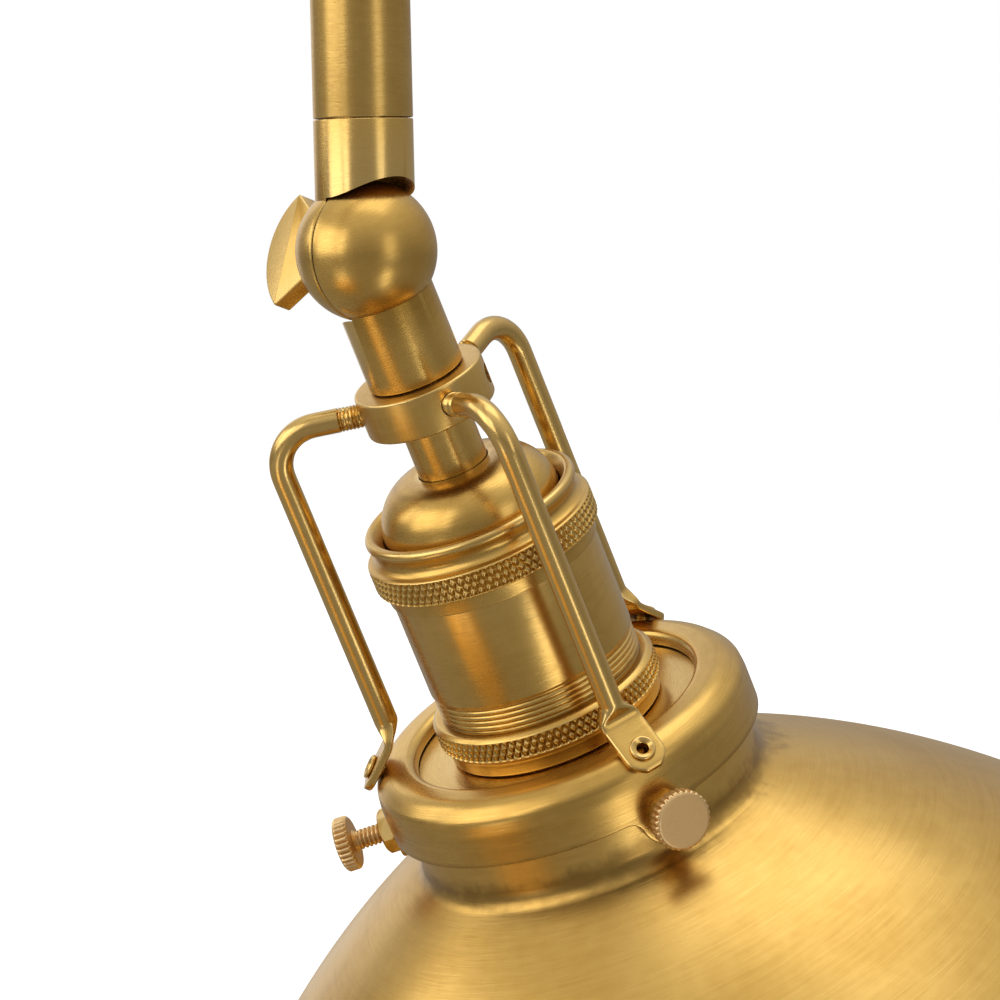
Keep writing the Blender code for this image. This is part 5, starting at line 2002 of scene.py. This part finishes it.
# ==================================================================== studio
@dataclass(frozen=True)
class SoftBox:
    """A rectangular light that faces the head.

    Attributes:
        name: Its name.
        place: Its place from the head: towards the camera's right, up, and back to the camera.
        size: Its width and height.
        power: Its power in watts.
    """

    name: str
    place: Tuple[float, float, float]
    size: Tuple[float, float]
    power: float

    def build(self, axes: Matrix, head: Vector) -> None:
        """Hang the light.

        Args:
            axes: The camera's axes: right, up and back.
            head: The place that the light faces.
        """
        data = bpy.data.lights.new(self.name, "AREA")
        data.shape = "RECTANGLE"
        data.size, data.size_y = self.size
        data.energy = self.power
        offset = axes @ Vector(self.place)
        obj = bpy.data.objects.new(self.name, data)
        obj.location = head + offset
        obj.rotation_euler = (-offset).to_track_quat("-Z", "Y").to_euler()
        obj.visible_camera = False
        bpy.context.scene.collection.objects.link(obj)


@dataclass
class Studio:
    """The floor, the lights, the world and the camera.

    Attributes:
        camera_offset: The camera's place from the wrist's ball.
        azimuth: Direction from the lamp to the camera, from -Y towards +X, in degrees.
        elevation: Its height above the horizon, in degrees.
        roll: The camera's roll, in degrees.
        lens: Focal length on a 36 mm wide sensor.
        shift: The lens's shift, across and up.
        focus: The middle of the head from the wrist's ball, which the lights face.
        boxes: The lights; the last two are small ones low in front of the head.
    """

    camera_offset: Tuple[float, float, float] = (-0.4581, -0.5526, -0.0013)
    azimuth: float = -41.58
    elevation: float = 3.50
    roll: float = -1.33
    lens: float = 162.3
    shift: Tuple[float, float] = (-0.0245, 0.0311)
    focus: Tuple[float, float, float] = (0.04, 0.0, -0.05)
    boxes: Tuple[SoftBox, ...] = (
        SoftBox("key", (-1.2, 0.32, 0.72), (1.35, 0.9), 7.3),
        SoftBox("fill", (0.9, 0.05, 1.1), (0.45, 1.1), 1.6),
        SoftBox("top", (0.1, 1.5, 0.1), (1.2, 1.2), 4.8),
        SoftBox("rim", (-0.6, 0.4, -1.2), (0.8, 1.2), 1.6),
        SoftBox("side", (-1.4, 0.52, -0.25), (0.45, 0.6), 1.6),
        SoftBox("low_left", (-0.24, -0.25, 0.21), (0.10, 0.22), 0.09),
        SoftBox("low_right", (0.16, -0.235, 0.218), (0.07, 0.22), 0.11),
    )

    def build(self) -> None:
        """Set up the stage."""
        self.floor()
        self.world()
        self.camera()
        self.lights()
        bpy.context.scene.view_settings.view_transform = "Standard"

    def facing(self) -> Matrix:
        """The camera's axes: right, up and back."""
        az, el, roll = (math.radians(a) for a in (self.azimuth, self.elevation, self.roll))
        back = Vector((math.sin(az) * math.cos(el), -math.cos(az) * math.cos(el), math.sin(el)))
        right = Vector((math.cos(az), math.sin(az), 0.0))
        up = back.cross(right)
        turned_right = right * math.cos(roll) + up * math.sin(roll)
        turned_up = up * math.cos(roll) - right * math.sin(roll)
        return Matrix((turned_right, turned_up, back)).transposed()

    def camera(self) -> None:
        """The camera, looking at the head as a product picture does."""
        data = bpy.data.cameras.new("camera")
        data.lens = self.lens
        data.sensor_width = 36.0
        data.shift_x, data.shift_y = self.shift
        data.clip_start = 0.02
        obj = bpy.data.objects.new("camera", data)
        place = Vector(joint_centre("head_tilt")) + Vector(self.camera_offset)
        obj.matrix_world = Matrix.Translation(place) @ self.facing().to_4x4()
        bpy.context.scene.collection.objects.link(obj)
        bpy.context.scene.camera = obj

    def floor(self) -> None:
        """A plain pale floor, darker in what the brass reflects of it."""
        form = bmesh.new()
        bmesh.ops.create_grid(form, x_segments=1, y_segments=1, size=6.0)
        mesh = bpy.data.meshes.new("floor")
        form.to_mesh(mesh)
        form.free()
        obj = bpy.data.objects.new("floor", mesh)
        bpy.context.scene.collection.objects.link(obj)
        material, graph, shader = new_material("pale_floor")
        place = graph.node("ShaderNodeTexCoord").outputs["Object"]
        cloud = graph.noise(place, 3.0)
        colour = graph.blend((0.93, 0.93, 0.925), (0.90, 0.90, 0.895), cloud)
        seen = graph.number(graph.node("ShaderNodeLightPath").outputs["Is Camera Ray"])
        colour = graph.blend((0.26, 0.255, 0.25), colour, seen)
        glow = graph.blend((0.08, 0.08, 0.08), (1.0, 1.0, 1.0), seen)
        graph.tree.links.new(glow, shader.inputs["Emission Color"])
        graph.tree.links.new(colour, shader.inputs["Base Color"])
        shader.inputs["Roughness"].default_value = 0.9
        shader.inputs["Emission Strength"].default_value = 0.55
        mesh.materials.append(material)

    def world(self) -> None:
        """A white room for the camera, softer and graded for what the brass reflects."""
        world = bpy.data.worlds.new("studio")
        world.use_nodes = True
        graph = Graph(world.node_tree)
        background = world.node_tree.nodes["Background"]
        way = graph.node("ShaderNodeTexCoord").outputs["Generated"]
        _, _, up = graph.split(way)
        ramp = graph.node("ShaderNodeValToRGB", {"stops": (
            (0.0, (0.20, 0.19, 0.18)), (0.42, (0.19, 0.18, 0.17)), (0.52, (0.36, 0.35, 0.34)),
            (0.66, (0.46, 0.45, 0.44)), (1.0, (1.0, 1.0, 0.98)))}, {0: up * 0.5 + 0.5})
        seen = graph.node("ShaderNodeLightPath").outputs["Is Camera Ray"]
        colour = graph.blend(ramp.outputs[0], (1.0, 1.0, 1.0), graph.number(seen))
        world.node_tree.links.new(colour, background.inputs["Color"])
        bpy.context.scene.world = world

    def lights(self) -> None:
        """The soft boxes round the head."""
        head = Vector(joint_centre("head_tilt")) + Vector(self.focus)
        for box in self.boxes:
            box.build(self.facing(), head)


def main() -> None:
    """Build the lamp, then the studio round it."""
    logging.basicConfig(level=logging.INFO, format="%(name)s: %(message)s")
    Base().build()
    Arms().build()
    Gallery().build()
    Socket().build()
    Fitter().build()
    Shade().build()
    Studio().build()


if __name__ == "__main__":
    main()
